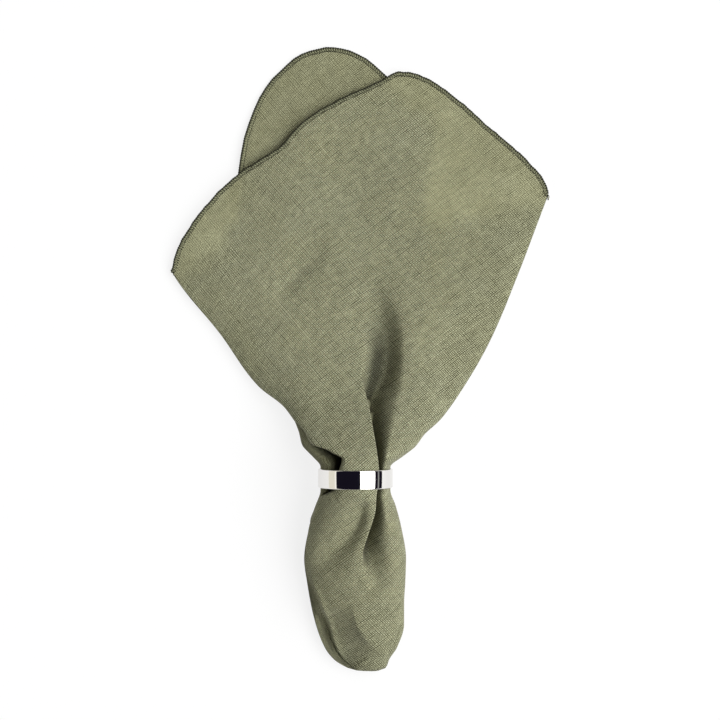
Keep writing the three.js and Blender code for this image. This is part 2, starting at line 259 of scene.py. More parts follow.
LIP = curve_of(
    (0, 0.8), (7, 0.83), (14, 0.836), (20, 0.84), (28, 0.84), (36, 0.869), (43, 0.889), (54, 0.945),
    (65, 0.94), (84, 0.94), (100, 0.93), (102, 0.88), (104, 0.77), (107, 0.71), (115.6, 0.68),
    (122.5, 0.62), (125.2, 0.70), (128, 0.76), (130.2, 0.86), (133, 0.885), (136.5, 0.89), (142.5, 0.915),
    (152, 0.945), (171, 0.97), (205, 0.99), (360, 0.996),
)

# From the front layer's left fold down the stack to the back layer's right fold
FOLDS = (
    Fold(1, -0.45, 0, 0.996, 250, 0, 0),
    Fold(-1, 1, 0.24, 0.335, 325, -12, 12),
    Fold(1, 2, 0.96, 0.79, 268, 0, 28),
    Fold(-1, 3, 0.2, 0.3, 260, -14, 7),
    Fold(1, 4, 0.91, 0.815, 255, 32, 7),
    Fold(-1, 5, 0.24, 0.3, 255, -10, 7),
    Fold(1, 6, 0.85, 0.855, 253, 34, 7),
    Fold(-1, 7, 0.02, 0.004, 291.4, -22, 16),
)
TIP_ANGLES = {Layer.FRONT: (66, 33, 0, -33, -66), Layer.BACK: (60, 20, -20, -60)}
INNER_TIP_ANGLES = (50, 0, -50)
FRONT_STRIPS = (
    (Break.START, Break.SHOULDER, 36),
    (Break.SHOULDER, Break.FLOOR, 16),
    (Break.FLOOR, Break.EDGE, 18),
    (Break.EDGE, Break.END, 58),
)

FRONT_HEM = curve_of(
    (-22.2, 291.4), (-21.84, 294.8), (-20.86, 300), (-19.2, 305.2), (-16.2, 313), (-14.4, 317.4),
    (-9.5, 332.8), (-6.2, 340.8), (-4.4, 341.8), (-2.4, 335.4), (2.7, 322), (5.5, 313.6), (8.6, 300),
    (13.2, 290.6), (17.4, 279.4), (23, 260), (25, 249.4),
)
LOBE_HEM = curve_of(
    (-6.4, 325), (-3.2, 338.4), (-1.2, 347.6), (0.9, 353.8), (3, 355.2), (5.1, 352.4), (7.1, 345.4),
    (9.2, 334.5), (12, 310), (13.2, 295), (15.1, 268),
)
HEM_WAVES = (Ripple(0, 3.1, 0.14, 0.3), Ripple(0, 1.83, 0.12, 1.9), Ripple(0, 0.97, 0.12, 4.1))

VALLEY = (
    ValleyRow(0, 2.5, 5, 8, 0, 0, 0),
    ValleyRow(30, 3.5, 11, 17, 0, 0, 0),
    ValleyRow(41, 3.6, 10, 18, 0.4, 0, 0),
    ValleyRow(50, 3.2, 8.8, 17, 1.6, 0, 0.1),
    ValleyRow(61, 1.5, 7, 18, 5.6, 0, 0.3),
    ValleyRow(69, 1.2, 4.6, 18.5, 11, 1, 0.8),
    ValleyRow(77.4, 3.4, 4.6, 17, 15, 2.5, 1),
    ValleyRow(85.7, 6.2, 7.2, 15.5, 14, 2.5, 1),
    ValleyRow(94, 8.4, 9.2, 14.5, 10, 2, 1),
    ValleyRow(102, 8.9, 9.7, 13.4, 7, 1.5, 1),
    ValleyRow(110, 10, 10.8, 13.6, 6, 1.2, 1),
    ValleyRow(116, 10.2, 11, 14, 7, 1.5, 1),
    ValleyRow(126.8, 9, 10, 15.5, 11, 2.4, 1),
    ValleyRow(137.9, 7.2, 8.2, 18, 15, 3, 1),
    ValleyRow(146.2, 5.8, 7, 19.5, 17, 3, 1),
    ValleyRow(154.6, 3.8, 6.5, 21, 17.5, 2.6, 1),
    ValleyRow(163, 1.8, 9.6, 24, 16, 1, 0.8),
    ValleyRow(171.3, 0.4, 12, 24.8, 13.4, 0, 0.3),
    ValleyRow(182.4, 1, 13.6, 25.4, 10, 0, 0),
    ValleyRow(193.6, -1.5, 13.8, 25.6, 6.6, 0, 0),
    ValleyRow(204.7, -3.5, 11.8, 23.4, 3.5, 0, 0),
    ValleyRow(214, -5, 9, 20, 1.4, 0, 0),
    ValleyRow(226, -4, 8, 18, 0.2, 0, 0),
    ValleyRow(240, 2, 12, 24, 0, 0, 0),
    ValleyRow(360, 25, 29, 40, 0, 0, 0),
)

CREASES = tuple(tuple(Crease(*place) for place in line) for line in (
    ((-28, 138, 18, 18, 0), (-31, 150, 18, 18, -1.8), (-35, 164, 18, 18, -1.8), (-40, 178, 18, 18, 0)),
    (
        (1.5, 101, 3, 4, 0), (1.1, 96, 3.5, 6, 3.4), (-1.1, 86, 4, 7, 6), (-6.6, 77, 4.5, 8, 6),
        (-15.5, 69, 5, 8, 4), (-25, 60.5, 5, 6, 1),
    ),
    ((-22, 80.5, 1.6, 1.6, 0.2), (-19, 77.5, 1.6, 1.6, 0.9), (-15, 75, 1.6, 1.6, 0)),
    ((-21, 94, 2.4, 2.4, 0), (-20.5, 86, 2.4, 2.4, -0.9), (-20, 78, 2.4, 2.4, 0)),
    ((6, 74, 4, 4, 0), (-2, 66, 4, 4, -1.4), (-7, 58, 5, 5, -1.2), (-12, 48, 5, 5, 0)),
    ((-6, 17, 1.3, 1.3, 0), (6, 18.5, 1.3, 1.3, 0.6), (17, 26, 1.3, 1.3, 0)),
    ((-52, 212, 6, 6, 0), (-42, 222, 8, 5, 3), (-28, 234, 8, 5, 3), (-18, 243, 8, 6, 0)),
    ((-42, 205, 5, 5, 0), (-36, 212, 6, 5, 0.9), (-31, 218, 5, 5, 0)),
    (
        (5, 146, 26, 8, 0), (4, 158, 30, 10, 3.2), (6, 176, 32, 12, 4.6), (8, 196, 30, 12, 4),
        (8, 214, 26, 12, 2), (6, 232, 22, 12, 0),
    ),
    ((-14.5, 104.5, 1.4, 1.4, 2.2), (-13, 99, 1.6, 1.6, 0)),
    ((24.2, 41, 0.8, 0.8, 0), (22.6, 29, 0.8, 0.8, 0.9), (20, 19, 0.8, 0.8, 1), (16.5, 11, 0.8, 0.8, 0)),
    ((-4, 212, 3, 3, 0), (-3.4, 204, 3.4, 2.6, 1.2), (-1.6, 194, 3, 2.6, 1.1), (-1, 185, 3, 3, 0)),
    ((69, 262, 14, 20, 0), (64, 246, 16, 22, 1.4), (58, 230, 16, 22, 1.2), (50, 212, 14, 18, 0)),
    (
        (93, 272, 10, 12, 0), (87, 253, 10, 13, -2.6), (78, 233, 10, 18, -2.6), (68, 212, 10, 22, -2.4),
        (56, 192, 10, 22, -1.2), (46, 174, 10, 20, 0),
    ),
    ((20, 250, 22, 22, 0), (23, 275, 26, 26, -1.6), (28, 300, 26, 26, -1.8), (32, 325, 24, 24, -1.2)),
    ((-84, 266, 7, 7, 0), (-74, 250, 7, 7, 0.8), (-64, 234, 7, 7, 0)),
    (
        (-5, 42, 0, 10, 0), (-3.4, 35, 0, 9, 7), (-1.7, 28, 0, 9, 11), (3.4, 20, 0, 9, 11),
        (10, 13.3, 0, 12, 5), (15, 6, 0, 10, 0),
    ),
))
RIPPLES = (
    Ripple(36, 61, 0.30, 0.4), Ripple(-50, 47, 0.22, 2.1), Ripple(12, 33, 0.12, 1.2),
    Ripple(80, 27, 0.10, 3.0),
)

DOME = curve_of((120, 9), (175, 8), (215, 4.5), (260, 1.6), (330, 0.4))
SHOULDERS = curve_of((118, 2), (145, 3.2), (360, 3.2))
LOBE_RISE = curve_of((84, 0), (93, 1), (146, 1), (165, 0))
LOBE_LEAN = curve_of((0, 0), (127, 0), (136, 0.13), (360, 0.13))
OPENING = (113.0, 190.0)
FRONT_ROLL = curve_of((0, 30), (96, 30), (101, 1.8), (142, 1.8), (150, 4), (165, 30), (360, 30))
TAIL_STEP = curve_of((0, 0), (8, 1.5), (16, 4), (40, 4.6), (50, 2.2), (62, 0), (360, 0))
LIP_RIDGE = curve_of((0, 0), (10, 0.6), (20, 1.4), (44, 1.4), (58, 0), (116, 0), (126, 0.6), (150, 0))


@dataclass
class FoldedLinen:
    """The surface in which the napkin lies: a bundle in the ring that opens into a fan of eight layers."""

    fan_right_lean: float = -22.2
    fan_spread_lean: float = 47.2
    fan_axis_x: float = -2.8
    dome_power: float = 0.36
    inner_dome: float = 0.12
    inner_level: float = -0.1
    inner_press: float = 0.12
    inner_clear: float = 1.1
    inner_clear_start: tuple[float, float] = (0.5, 4.0)
    inner_margins: tuple[float, ...] = (-15.0, -10.0, -5.0, 0.0, 5.0, 10.0, 15.0)
    valley_floor: float = 2.6
    valley_stop: int = 6
    crisp_fall: int = 4
    crisp_rise: float = 1.6
    undercut_round: float = 0.7
    # Where painted shade darkens the main valley's left slope: its start and end across the slope, and the
    # valley depths over which it grows
    bank_start: tuple[float, float] = (0.05, 0.65)
    bank_end: tuple[float, float] = (0.85, 1.3)
    bank_depth: tuple[float, float] = (1.0, 12.0)
    lobe_opening: tuple[float, float] = (138.0, 205.0)
    lobe_rise_end: float = 0.97
    lobe_gap: float = 1.8
    stack_shut: tuple[float, float, float] = (0.13, 0.9, 0.8)
    stack_open: tuple[float, float, float] = (0.2, 0.85, 0.2)
    stack_pleat: float = 0.06
    layer_pitch: float = 0.8
    ramp_share: float = 0.3
    ramp_level: float = 10.0
    ramp_reach: float = 70.0
    cover_share: float = 0.06
    cover_reach: float = 16.0
    bow: tuple[float, float] = (116.0, 150.0)
    foot_gain: float = 0.22
    foot_run: float = 24.0
    step_spread: float = 0.4
    lip_ridge_width: float = 2.2
    hem_lift_share: float = 0.6
    hem_lift_spread: float = 0.13
    hem_lift_rise: float = 3.0
    hem_lift_run: float = 70.0

    def __post_init__(self) -> None:
        """Makes the curves of the tables with several columns."""
        self.outline = curves_of(SECTIONS)
        self.valley = curves_of(VALLEY)

    def hem_reach(self, layer: int, share: Array) -> Array:
        """Gives the distance of a layer's hem from the tip.

        Args:
            layer: The layer.
            share: Place across the open fan, 0 at its right edge and 1 at its left edge.

        Returns:
            Distances from the tip.
        """
        lean = self.fan_right_lean + self.fan_spread_lean * share
        uneven = sum(
            wave.height * np.sin(2 * np.pi * lean / wave.length + wave.start) for wave in HEM_WAVES
        )
        if layer == Layer.FRONT:
            return FRONT_HEM(lean) + uneven
        if layer == Layer.LOBE:
            return LOBE_HEM(lean) - uneven
        start, end = FOLDS[layer - 1], FOLDS[layer]
        t = np.clip((share - start.fan) / (end.fan - start.fan), 0.0, 1.0)
        return mix(start.reach, end.reach, t) + end.swell * np.sin(np.pi * t)

    def spread(self, layer: int, share: Array, reach: Array, ramps: tuple[float, float, float]) -> Array:
        """Tells where a layer lies in the fan.

        Args:
            layer: The layer.
            share: Place across the fan.
            reach: Distance from the tip.
            ramps: How far it fades aside, how far past its hem it starts to fade, and over what length.

        Returns:
            1 over the layer's own area, fading to 0 around it.
        """
        aside, margin, run = ramps
        right, left = sorted((FOLDS[layer].fan, FOLDS[(layer + Layer.BACK) % len(FOLDS)].fan))
        level = self.hem_reach(layer, np.clip(share, right, left)) + margin
        across = smooth(share, right - aside, right) * (1 - smooth(share, left, left + aside))
        return across * (1 - smooth(reach, level, level + run))

    def cover(self, layer: int, x: Array, reach: Array) -> Array:
        """Counts the layers that lie under a place of a layer.

        Args:
            layer: The layer on top.
            x: Places across.
            reach: Distances from the tip.

        Returns:
            Numbers of layers below.
        """
        share = self.share(x, reach)
        ramps = (self.cover_share, -self.cover_reach, self.cover_reach)
        below = [self.spread(each, share, reach, ramps) for each in range(layer + 1, Layer.BACK + 1)]
        return np.sum(below, axis=0)

    def share(self, x: Array, reach: Array) -> Array:
        """Gives places across a section as shares from its right edge to its left edge."""
        right = self.outline["right"](reach)
        return (x - right) / (self.outline["left"](reach) - right)

    def troughs(self, x: Array, reach: Array) -> Array:
        """Adds up the soft troughs and ridges of the front layer.

        Args:
            x: Places across.
            reach: Distances from the tip.

        Returns:
            Depths below the smooth crown.
        """
        shape = np.broadcast(x, reach).shape
        total = np.zeros(shape)
        for line in CREASES:
            nearest, size = np.full(shape, np.inf), np.zeros(shape)
            for start, end in zip(line, line[1:]):
                dx, dr = end.x - start.x, end.reach - start.reach
                ahead = (x - start.x) * dx + (reach - start.reach) * dr
                t = np.clip(ahead / (dx * dx + dr * dr), 0.0, 1.0)
                off_x, off_r = x - start.x - t * dx, reach - start.reach - t * dr
                left, right = mix(start.left, end.left, t), mix(start.right, end.right, t)
                on_left = dx * off_r - dr * off_x > 0
                away = off_x**2 + off_r**2
                if line[0].left:
                    profile = np.exp(-away / np.where(on_left, left, right) ** 2)
                else:
                    profile = np.where(on_left, 0.0, 1 - np.exp(-np.sqrt(away) / right))
                size = np.where(away < nearest, mix(start.depth, end.depth, t) * profile, size)
                nearest = np.minimum(away, nearest)
            total += size
        return total

    def ripple(self, x: Array, reach: Array) -> Array:
        """Gives the slow waves of the slack cloth in the fan.

        Args:
            x: Places across.
            reach: Distances from the tip.

        Returns:
            Heights above the smooth layer, never negative.
        """
        total = np.zeros(np.broadcast(x, reach).shape)
        for wave in RIPPLES:
            heading = math.radians(wave.heading)
            along = x * math.cos(heading) + reach * math.sin(heading)
            total += wave.height * (1 + np.sin(2 * np.pi * along / wave.length + wave.start))
        return total * smooth(reach, *OPENING)

    def flatness(self, reach: Array) -> Array:
        """Tells how flat the underside of the bundle lies on the table, from 0 in the ring to 1."""
        return smooth(np.abs(reach - RING_REACH), RING_WIDTH, RING_WIDTH + self.foot_run)

    def bundle_height(self, layer: int, x: Array, reach: Array) -> Array:
        """Gives the height of a layer inside the gathered bundle.

        Args:
            layer: The layer.
            x: Places across.
            reach: Distances from the tip.

        Returns:
            Heights of one of the bundle's curved levels.
        """
        left, right, waist = (self.outline[name](reach) for name in ("left", "right", "waist"))
        offset = np.minimum(np.abs((2 * x - left - right) / (right - left)), 1.0)
        power = SHOULDERS(reach)
        crown = waist + (self.outline["top"](reach) - waist) * (1 - offset**power) ** (1 / power)
        if layer == Layer.FRONT:
            return crown
        level = mix(self.inner_level, -1.0, (layer - 1) / (Layer.BACK - 1))
        flat = self.flatness(reach)
        power = 2 + flat
        bulge = (1 - offset**power) ** (1 / power)
        depth = waist - self.outline["floor"](reach)
        height = waist + level * depth * np.minimum(1.0, (1 + self.foot_gain * flat) * bulge)
        if layer == Layer.LOBE:
            share = (x - right) / (left - right)
            lean = LOBE_LEAN(reach)
            rise = LOBE_RISE(reach) * smooth(share, LIP(reach) - lean, self.lobe_rise_end - lean)
            height = mix(height, np.maximum(crown - self.lobe_gap, height), rise)
        return height

    def bundle_offset(self, z: Array, reach: Array) -> Array:
        """Gives the half width of the bundle at a height, as a share of its widest half.

        Args:
            z: Heights.
            reach: Distances from the tip.

        Returns:
            Shares from 0 to 1.
        """
        waist, top, floor = (self.outline[name](reach) for name in ("waist", "top", "floor"))
        flat = self.flatness(reach)
        power = SHOULDERS(reach)
        above = (1 - np.clip((z - waist) / (top - waist), 0.0, 1.0) ** power) ** (1 / power)
        depth = np.clip((waist - z) / (waist - floor) / (1 + self.foot_gain * flat), 0.0, 1.0)
        below = (1 - depth ** (2 + flat)) ** (1 / (2 + flat))
        return np.where(z > waist, above, below)

    def fan_height(self, layer: int, share: Array, reach: Array) -> Array:
        """Gives the height of a layer in the open fan, where it lies on the layers below it.

        Args:
            layer: The layer.
            share: Places across.
            reach: Distances from the tip.

        Returns:
            Heights.
        """
        ramps = (self.ramp_share, self.ramp_level, self.ramp_reach)
        height = np.full(np.broadcast(share, reach).shape, REST)
        for below in range(layer + 1, Layer.BACK + 1):
            height = height + self.layer_pitch * self.spread(below, share, reach, ramps)
        rank = 1.0 if layer == Layer.FRONT else self.inner_dome * (1 - layer / Layer.BACK)
        crown = np.sin(np.pi * np.clip(share, 0.0, 1.0)) ** self.dome_power
        height = height + rank * DOME(reach) * crown
        if layer == Layer.FRONT:
            hem = FRONT_HEM(self.fan_right_lean + self.fan_spread_lean * share)
            near = smooth(reach, hem - self.hem_lift_run, hem)
            away = (share - self.hem_lift_share) / self.hem_lift_spread
            height = height + near * self.hem_lift_rise * np.exp(-away * away)
        return height

    def layer_point(self, layer: int, x: Array, reach: Array, relief: bool = True) -> Array:
        """Gives the middle surface of a layer.

        Args:
            layer: The layer.
            x: Places across.
            reach: Distances from the tip.
            relief: Whether the valley and the creases are sunk into it.

        Returns:
            Points, with the ring's centre line at Y = 0.
        """
        height = mix(
            self.bundle_height(layer, x, reach),
            self.fan_height(layer, self.share(x, reach), reach) + self.ripple(x, reach),
            smooth(reach, *OPENING),
        )
        if relief and layer == Layer.FRONT:
            height = height - self.sunk(x, reach, height)
        elif relief:
            front = self.layer_point(Layer.FRONT, x, reach, relief=False)[..., 2]
            sunk = np.max([self.sunk(x + off, reach, front) for off in self.inner_margins], axis=0)
            clear = self.inner_clear * smooth(sunk, *self.inner_clear_start) + self.inner_press * layer
            height = np.minimum(height, front - sunk - clear)
        straight = np.sqrt(np.maximum(reach**2 - (x - self.fan_axis_x) ** 2, 0.0))
        y = mix(reach, straight, smooth(reach, *self.bow)) - RING_REACH
        return np.stack(np.broadcast_arrays(x, y, height), axis=-1)

    def sunk(self, x: Array, reach: Array, height: Array) -> Array:
        """Adds up what sinks the front layer, held above the layers that lie under it.

        Args:
            x: Places across.
            reach: Distances from the tip.
            height: Heights of the smooth crown.

        Returns:
            Depths below the crown.
        """
        drop = self.troughs(x, reach) + self.valley_drop(x, reach)
        share = np.maximum(drop, 0.0) / np.maximum(height - self.valley_floor, REST)
        return drop / (1 + share**self.valley_stop) ** (1 / self.valley_stop)

    def bank(self, x: Array, reach: Array) -> Array:
        """Tells where the left slope of the main valley lies, which the linen darkens with painted shade.

        Args:
            x: Places across.
            reach: Distances from the tip.

        Returns:
            Shares from 0 beside the valley's left slope to 1 in its middle.
        """
        edge, floor, depth = (self.valley[name](reach) for name in ("edge", "floor", "depth"))
        fall = (x - edge) / (floor - edge)
        inside = smooth(fall, *self.bank_start) * (1 - smooth(fall, *self.bank_end))
        return inside * smooth(depth, *self.bank_depth)

    def valley_drop(self, x: Array, reach: Array) -> Array:
        """Gives the depth of the main valley, with a crisp left edge where the cloth laps over it.

        Args:
            x: Places across.
            reach: Distances from the tip.

        Returns:
            Depths.
        """
        names = ("edge", "floor", "shoulder", "depth", "crisp")
        edge, floor, shoulder, depth, crisp = (self.valley[name](reach) for name in names)
        fall = np.clip((x - edge) / (floor - edge), 0.0, 1.0)
        left = mix(smooth(fall, 0.0, 1.0), 1 - (1 - fall) ** self.crisp_fall, crisp)
        rise = np.clip((shoulder - x) / (shoulder - floor), 0.0, 1.0)
        right = mix(smooth(rise, 0.0, 1.0), rise**self.crisp_rise, crisp)
        return depth * np.where(x < floor, left, right)

    def fold_x(self, fold: int, reach: Array) -> Array:
        """Gives the place of a fold across the sections.

        Args:
            fold: The fold.
            reach: Distances from the tip.

        Returns:
            Places across.
        """
        ring = LIP(reach) if fold == Layer.FRONT else FOLDS[fold].ring
        opening = self.lobe_opening if fold == Layer.LOBE else OPENING
        share = mix(ring, FOLDS[fold].fan, smooth(reach, *opening))
        return mix(self.outline["right"](reach), self.outline["left"](reach), share)

    def break_x(self, layer: int, place: Break, reach: Array) -> Array:
        """Gives the place of a named break across a layer.

        Args:
            layer: The layer.
            place: The break.
            reach: Distances from the tip.

        Returns:
            Places across.
        """
        if place is Break.START:
            return self.fold_x((layer + Layer.BACK) % len(FOLDS), reach)
        if place is Break.END:
            return self.fold_x(layer, reach)
        return self.valley[place.value](reach)

    def strip_x(self, layer: int, ends: tuple[Break, Break], t: Array, reach: Array) -> Array:
        """Gives the places of a strip's columns between its two breaks."""
        return mix(self.break_x(layer, ends[0], reach), self.break_x(layer, ends[1], reach), t)

    def strip_point(self, layer: int, ends: tuple[Break, Break], t: Array, reach: Array) -> Array:
        """Gives the points of a strip of columns, with the main valley sunk into the front layer.

        Args:
            layer: The layer.
            ends: The breaks that the strip runs between.
            t: Places of the columns between them, from 0 to 1.
            reach: Distances from the tip.

        Returns:
            Points.
        """
        x = self.strip_x(layer, ends, t, reach)
        point = self.layer_point(layer, x, reach)
        if layer == Layer.FRONT and ends == (Break.FLOOR, Break.EDGE):
            point[..., 0] -= self.valley["undercut"](reach) * np.sin(np.pi * (1 - t) ** self.undercut_round)
        elif layer == Layer.FRONT and ends == (Break.EDGE, Break.END):
            away = (x - self.fold_x(layer, reach)) / self.lip_ridge_width
            point[..., 2] += LIP_RIDGE(reach) * np.exp(-away * away)
        return point

    def tip_point(self, fold: int, angle: Array, reach: Array) -> Array:
        """Gives the rounded tip of a fold, which joins the ends of the layers above and below it.

        Args:
            fold: The fold.
            angle: Degrees around the tip, 90 at the upper layer and -90 at the lower layer.
            reach: Distances from the tip of the tail.

        Returns:
            Points.
        """
        x = self.fold_x(fold, reach)
        upper = self.layer_point(fold, x, reach)
        lower = self.layer_point((fold + 1) % len(FOLDS), x, reach)
        turn = np.radians(angle)
        middle = (upper + lower) / 2
        point = middle + (upper - middle) * np.sin(turn)[..., None]
        left, right = self.outline["left"](reach), self.outline["right"](reach)
        half = (right - left) / 2 * self.bundle_offset(middle[..., 2], reach)
        room = half - np.abs(x - (left + right) / 2)
        limit = mix(np.maximum(room, REST), self.layer_pitch / 2, smooth(reach, *OPENING))
        if fold == Layer.FRONT:
            limit = np.minimum(limit, FRONT_ROLL(reach))
        bulge = np.minimum(np.abs(upper[..., 2] - lower[..., 2]) / 2, limit)
        point[..., 0] -= FOLDS[fold].side * bulge * np.cos(turn)
        return point

    def side_point(self, down: Array, reach: Array) -> Array:
        """Gives a place on the plain left side of the tail, under the front layer's lip.

        Args:
            down: Share of the way from the lip down to the back layer.
            reach: Distances from the tip.

        Returns:
            Points.
        """
        left, right, waist = (self.outline[name](reach) for name in ("left", "right", "waist"))
        lip = self.bundle_height(Layer.FRONT, self.fold_x(Layer.FRONT, reach), reach)
        foot = self.bundle_height(Layer.BACK, self.fold_x(Layer.BACK - 1, reach), reach)
        z = mix(lip, foot, down)
        x = (left + right) / 2 + (left - right) / 2 * self.bundle_offset(z, reach)
        z = z - self.troughs(x, reach) * np.maximum((z - waist) / (lip - waist), 0.0)
        step = TAIL_STEP(reach) * np.exp(-((down / self.step_spread) ** 2))
        return np.stack(np.broadcast_arrays(x, reach - RING_REACH, np.maximum(z - step, REST)), axis=-1)

    def tucked(self, points: Array, level: Array, tilt: Array, reach: Array) -> Array:
        """Draws the inner folds back into the plain side of the tail.

        Args:
            points: Points of the inner folds.
            level: Levels of the columns down the stack.
            tilt: Places of the columns within their levels.
            reach: Distances from the tip.

        Returns:
            Points.
        """
        pleat = self.outline["pleat"](reach)
        shut, opened = (
            mix(first, last, (level + tilt * lean) / (Layer.BACK - 1))
            for first, last, lean in (self.stack_shut, self.stack_open)
        )
        down = mix(shut, opened, smooth(pleat, 0.0, self.stack_pleat))
        return mix(self.side_point(down, reach), points, pleat[..., None])


# Node trees written as expressions


class Shade:
    """A socket of a node tree that takes part in Python arithmetic."""

    def __init__(self, graph: "Graph", socket: bpy.types.NodeSocket) -> None:
        """Wraps an output socket of a graph."""
        self.graph = graph
        self.socket = socket

    def math(self, operation: str, *others: Any) -> "Shade":
        """Adds a Math node that works on this value.

        Args:
            operation: The Math node's operation.
            others: Further values, as numbers or shades.

        Returns:
            The node's value.
        """
        return self.graph.math(operation, self, *others)

    def __add__(self, other: Any) -> "Shade":
        """Adds."""
        return self.math("ADD", other)

    def __radd__(self, other: Any) -> "Shade":
        """Adds, reflected."""
        return self.math("ADD", other)

    def __sub__(self, other: Any) -> "Shade":
        """Subtracts."""
        return self.math("SUBTRACT", other)

    def __rsub__(self, other: Any) -> "Shade":
        """Subtracts, reflected."""
        return self.graph.math("SUBTRACT", other, self)

    def __mul__(self, other: Any) -> "Shade":
        """Multiplies."""
        return self.math("MULTIPLY", other)

    def __rmul__(self, other: Any) -> "Shade":
        """Multiplies, reflected."""
        return self.math("MULTIPLY", other)


class Graph:
    """A node tree that is built by calls."""

    def __init__(self, tree: bpy.types.NodeTree) -> None:
        """Starts from an empty tree."""
        self.tree = tree
        tree.nodes.clear()

    def node(self, kind: str, settings: dict[str, Any], inputs: dict[Any, Any]) -> bpy.types.Node:
        """Adds a node.

        Args:
            kind: The node's type.
            settings: Its own settings, which are set first.
            inputs: Values or shades for its sockets, by name or number.

        Returns:
            The node.
        """
        made = self.tree.nodes.new(kind)
        for name, value in settings.items():
            setattr(made, name, value)
        for name, value in inputs.items():
            if isinstance(value, Shade):
                self.tree.links.new(value.socket, made.inputs[name])
            else:
                made.inputs[name].default_value = value
        return made

    def shade(self, kind: str, output: Any, settings: dict[str, Any], inputs: dict[Any, Any]) -> Shade:
        """Adds a node and gives one of its outputs.

        Args:
            kind: The node's type.
            output: The output, by name or number.
            settings: Its own settings.
            inputs: Values or shades for its sockets.

        Returns:
            The output.
        """
        return Shade(self, self.node(kind, settings, inputs).outputs[output])

    def math(self, operation: str, *values: Any) -> Shade:
        """Adds a Math node on numbers or shades."""
        return self.shade("ShaderNodeMath", 0, {"operation": operation}, dict(enumerate(values)))

    def ease(self, value: Shade, low: float, high: float) -> Shade:
        """Eases a value from 0 at low to 1 at high."""
        settings = {"interpolation_type": "SMOOTHSTEP"}
        return self.shade("ShaderNodeMapRange", 0, settings, {0: value, 1: low, 2: high, 3: 0.0, 4: 1.0})

    def tint(self, factor: Any, a: Any, b: Any, blend: str = "MIX") -> Shade:
        """Mixes two colours.

        Args:
            factor: Share of the second colour.
            a: First colour.
            b: Second colour.
            blend: How they mix.

        Returns:
            The mixed colour.
        """
        settings = {"data_type": "RGBA", "blend_type": blend, "clamp_result": False, "clamp_factor": False}
        return self.shade("ShaderNodeMix", 2, settings, {0: factor, 6: a, 7: b})

    def grey(self, value: Shade) -> Shade:
        """Makes a grey colour of a value."""
        return self.shade("ShaderNodeCombineColor", 0, {"mode": "RGB"}, {0: value, 1: value, 2: value})

    def vector(self, x: Any, y: Any, z: Any = 0.0) -> Shade:
        """Makes a vector of three values."""
        return self.shade("ShaderNodeCombineXYZ", 0, {}, {0: x, 1: y, 2: z})

    def split(self, vector: Shade) -> tuple[Shade, Shade, Shade]:
        """Gives the three values of a vector."""
        made = self.node("ShaderNodeSeparateXYZ", {}, {0: vector})
        return tuple(Shade(self, output) for output in made.outputs)

    def noise(self, vector: Shade, scale: float, detail: float) -> Shade:
        """Gives a flat noise around 0, from about -0.5 to 0.5.

        Args:
            vector: Where it is read.
            scale: How fine it is.
            detail: How many finer noises are added.

        Returns:
            The noise.
        """
        settings = {"noise_dimensions": "2D"}
        inputs = {"Vector": vector, "Scale": scale, "Detail": detail}
        return self.shade("ShaderNodeTexNoise", 0, settings, inputs) - 0.5

    def speckle(self, vector: Shade, scale: float, detail: float) -> Shade:
        """Gives a solid noise from 0 to 1."""
        return self.shade("ShaderNodeTexNoise", 0, {}, {"Vector": vector, "Scale": scale, "Detail": detail})

    def bump(self, height: Shade, strength: float, distance: float) -> Shade:
        """Gives a normal that follows a height."""
        inputs = {"Strength": strength, "Distance": distance, "Height": height}
        return self.shade("ShaderNodeBump", 0, {}, inputs)

    def mark(self, name: str) -> Shade:
        """Reads a value that is written on the mesh."""
        return self.shade("ShaderNodeAttribute", 2, {"attribute_name": name}, {})

    def surface(self, inputs: dict[str, Any]) -> None:
        """Ends a material in a Principled shader with the given sockets."""
        shader = self.shade("ShaderNodeBsdfPrincipled", 0, {}, inputs)
        self.node("ShaderNodeOutputMaterial", {}, {"Surface": shader})

    def scatter(self, value: Shade) -> Shade:
        """Gives a random value around 0 for each whole number."""
        return self.shade("ShaderNodeTexWhiteNoise", 0, {"noise_dimensions": "1D"}, {"W": value}) - 0.5


def plain_material(name: str) -> tuple[bpy.types.Material, Graph]:
    """Makes an empty material.

    Args:
        name: Its name.

    Returns:
        The material and its graph.
    """
    material = bpy.data.materials.new(name)
    material.use_nodes = True
    return material, Graph(material.node_tree)


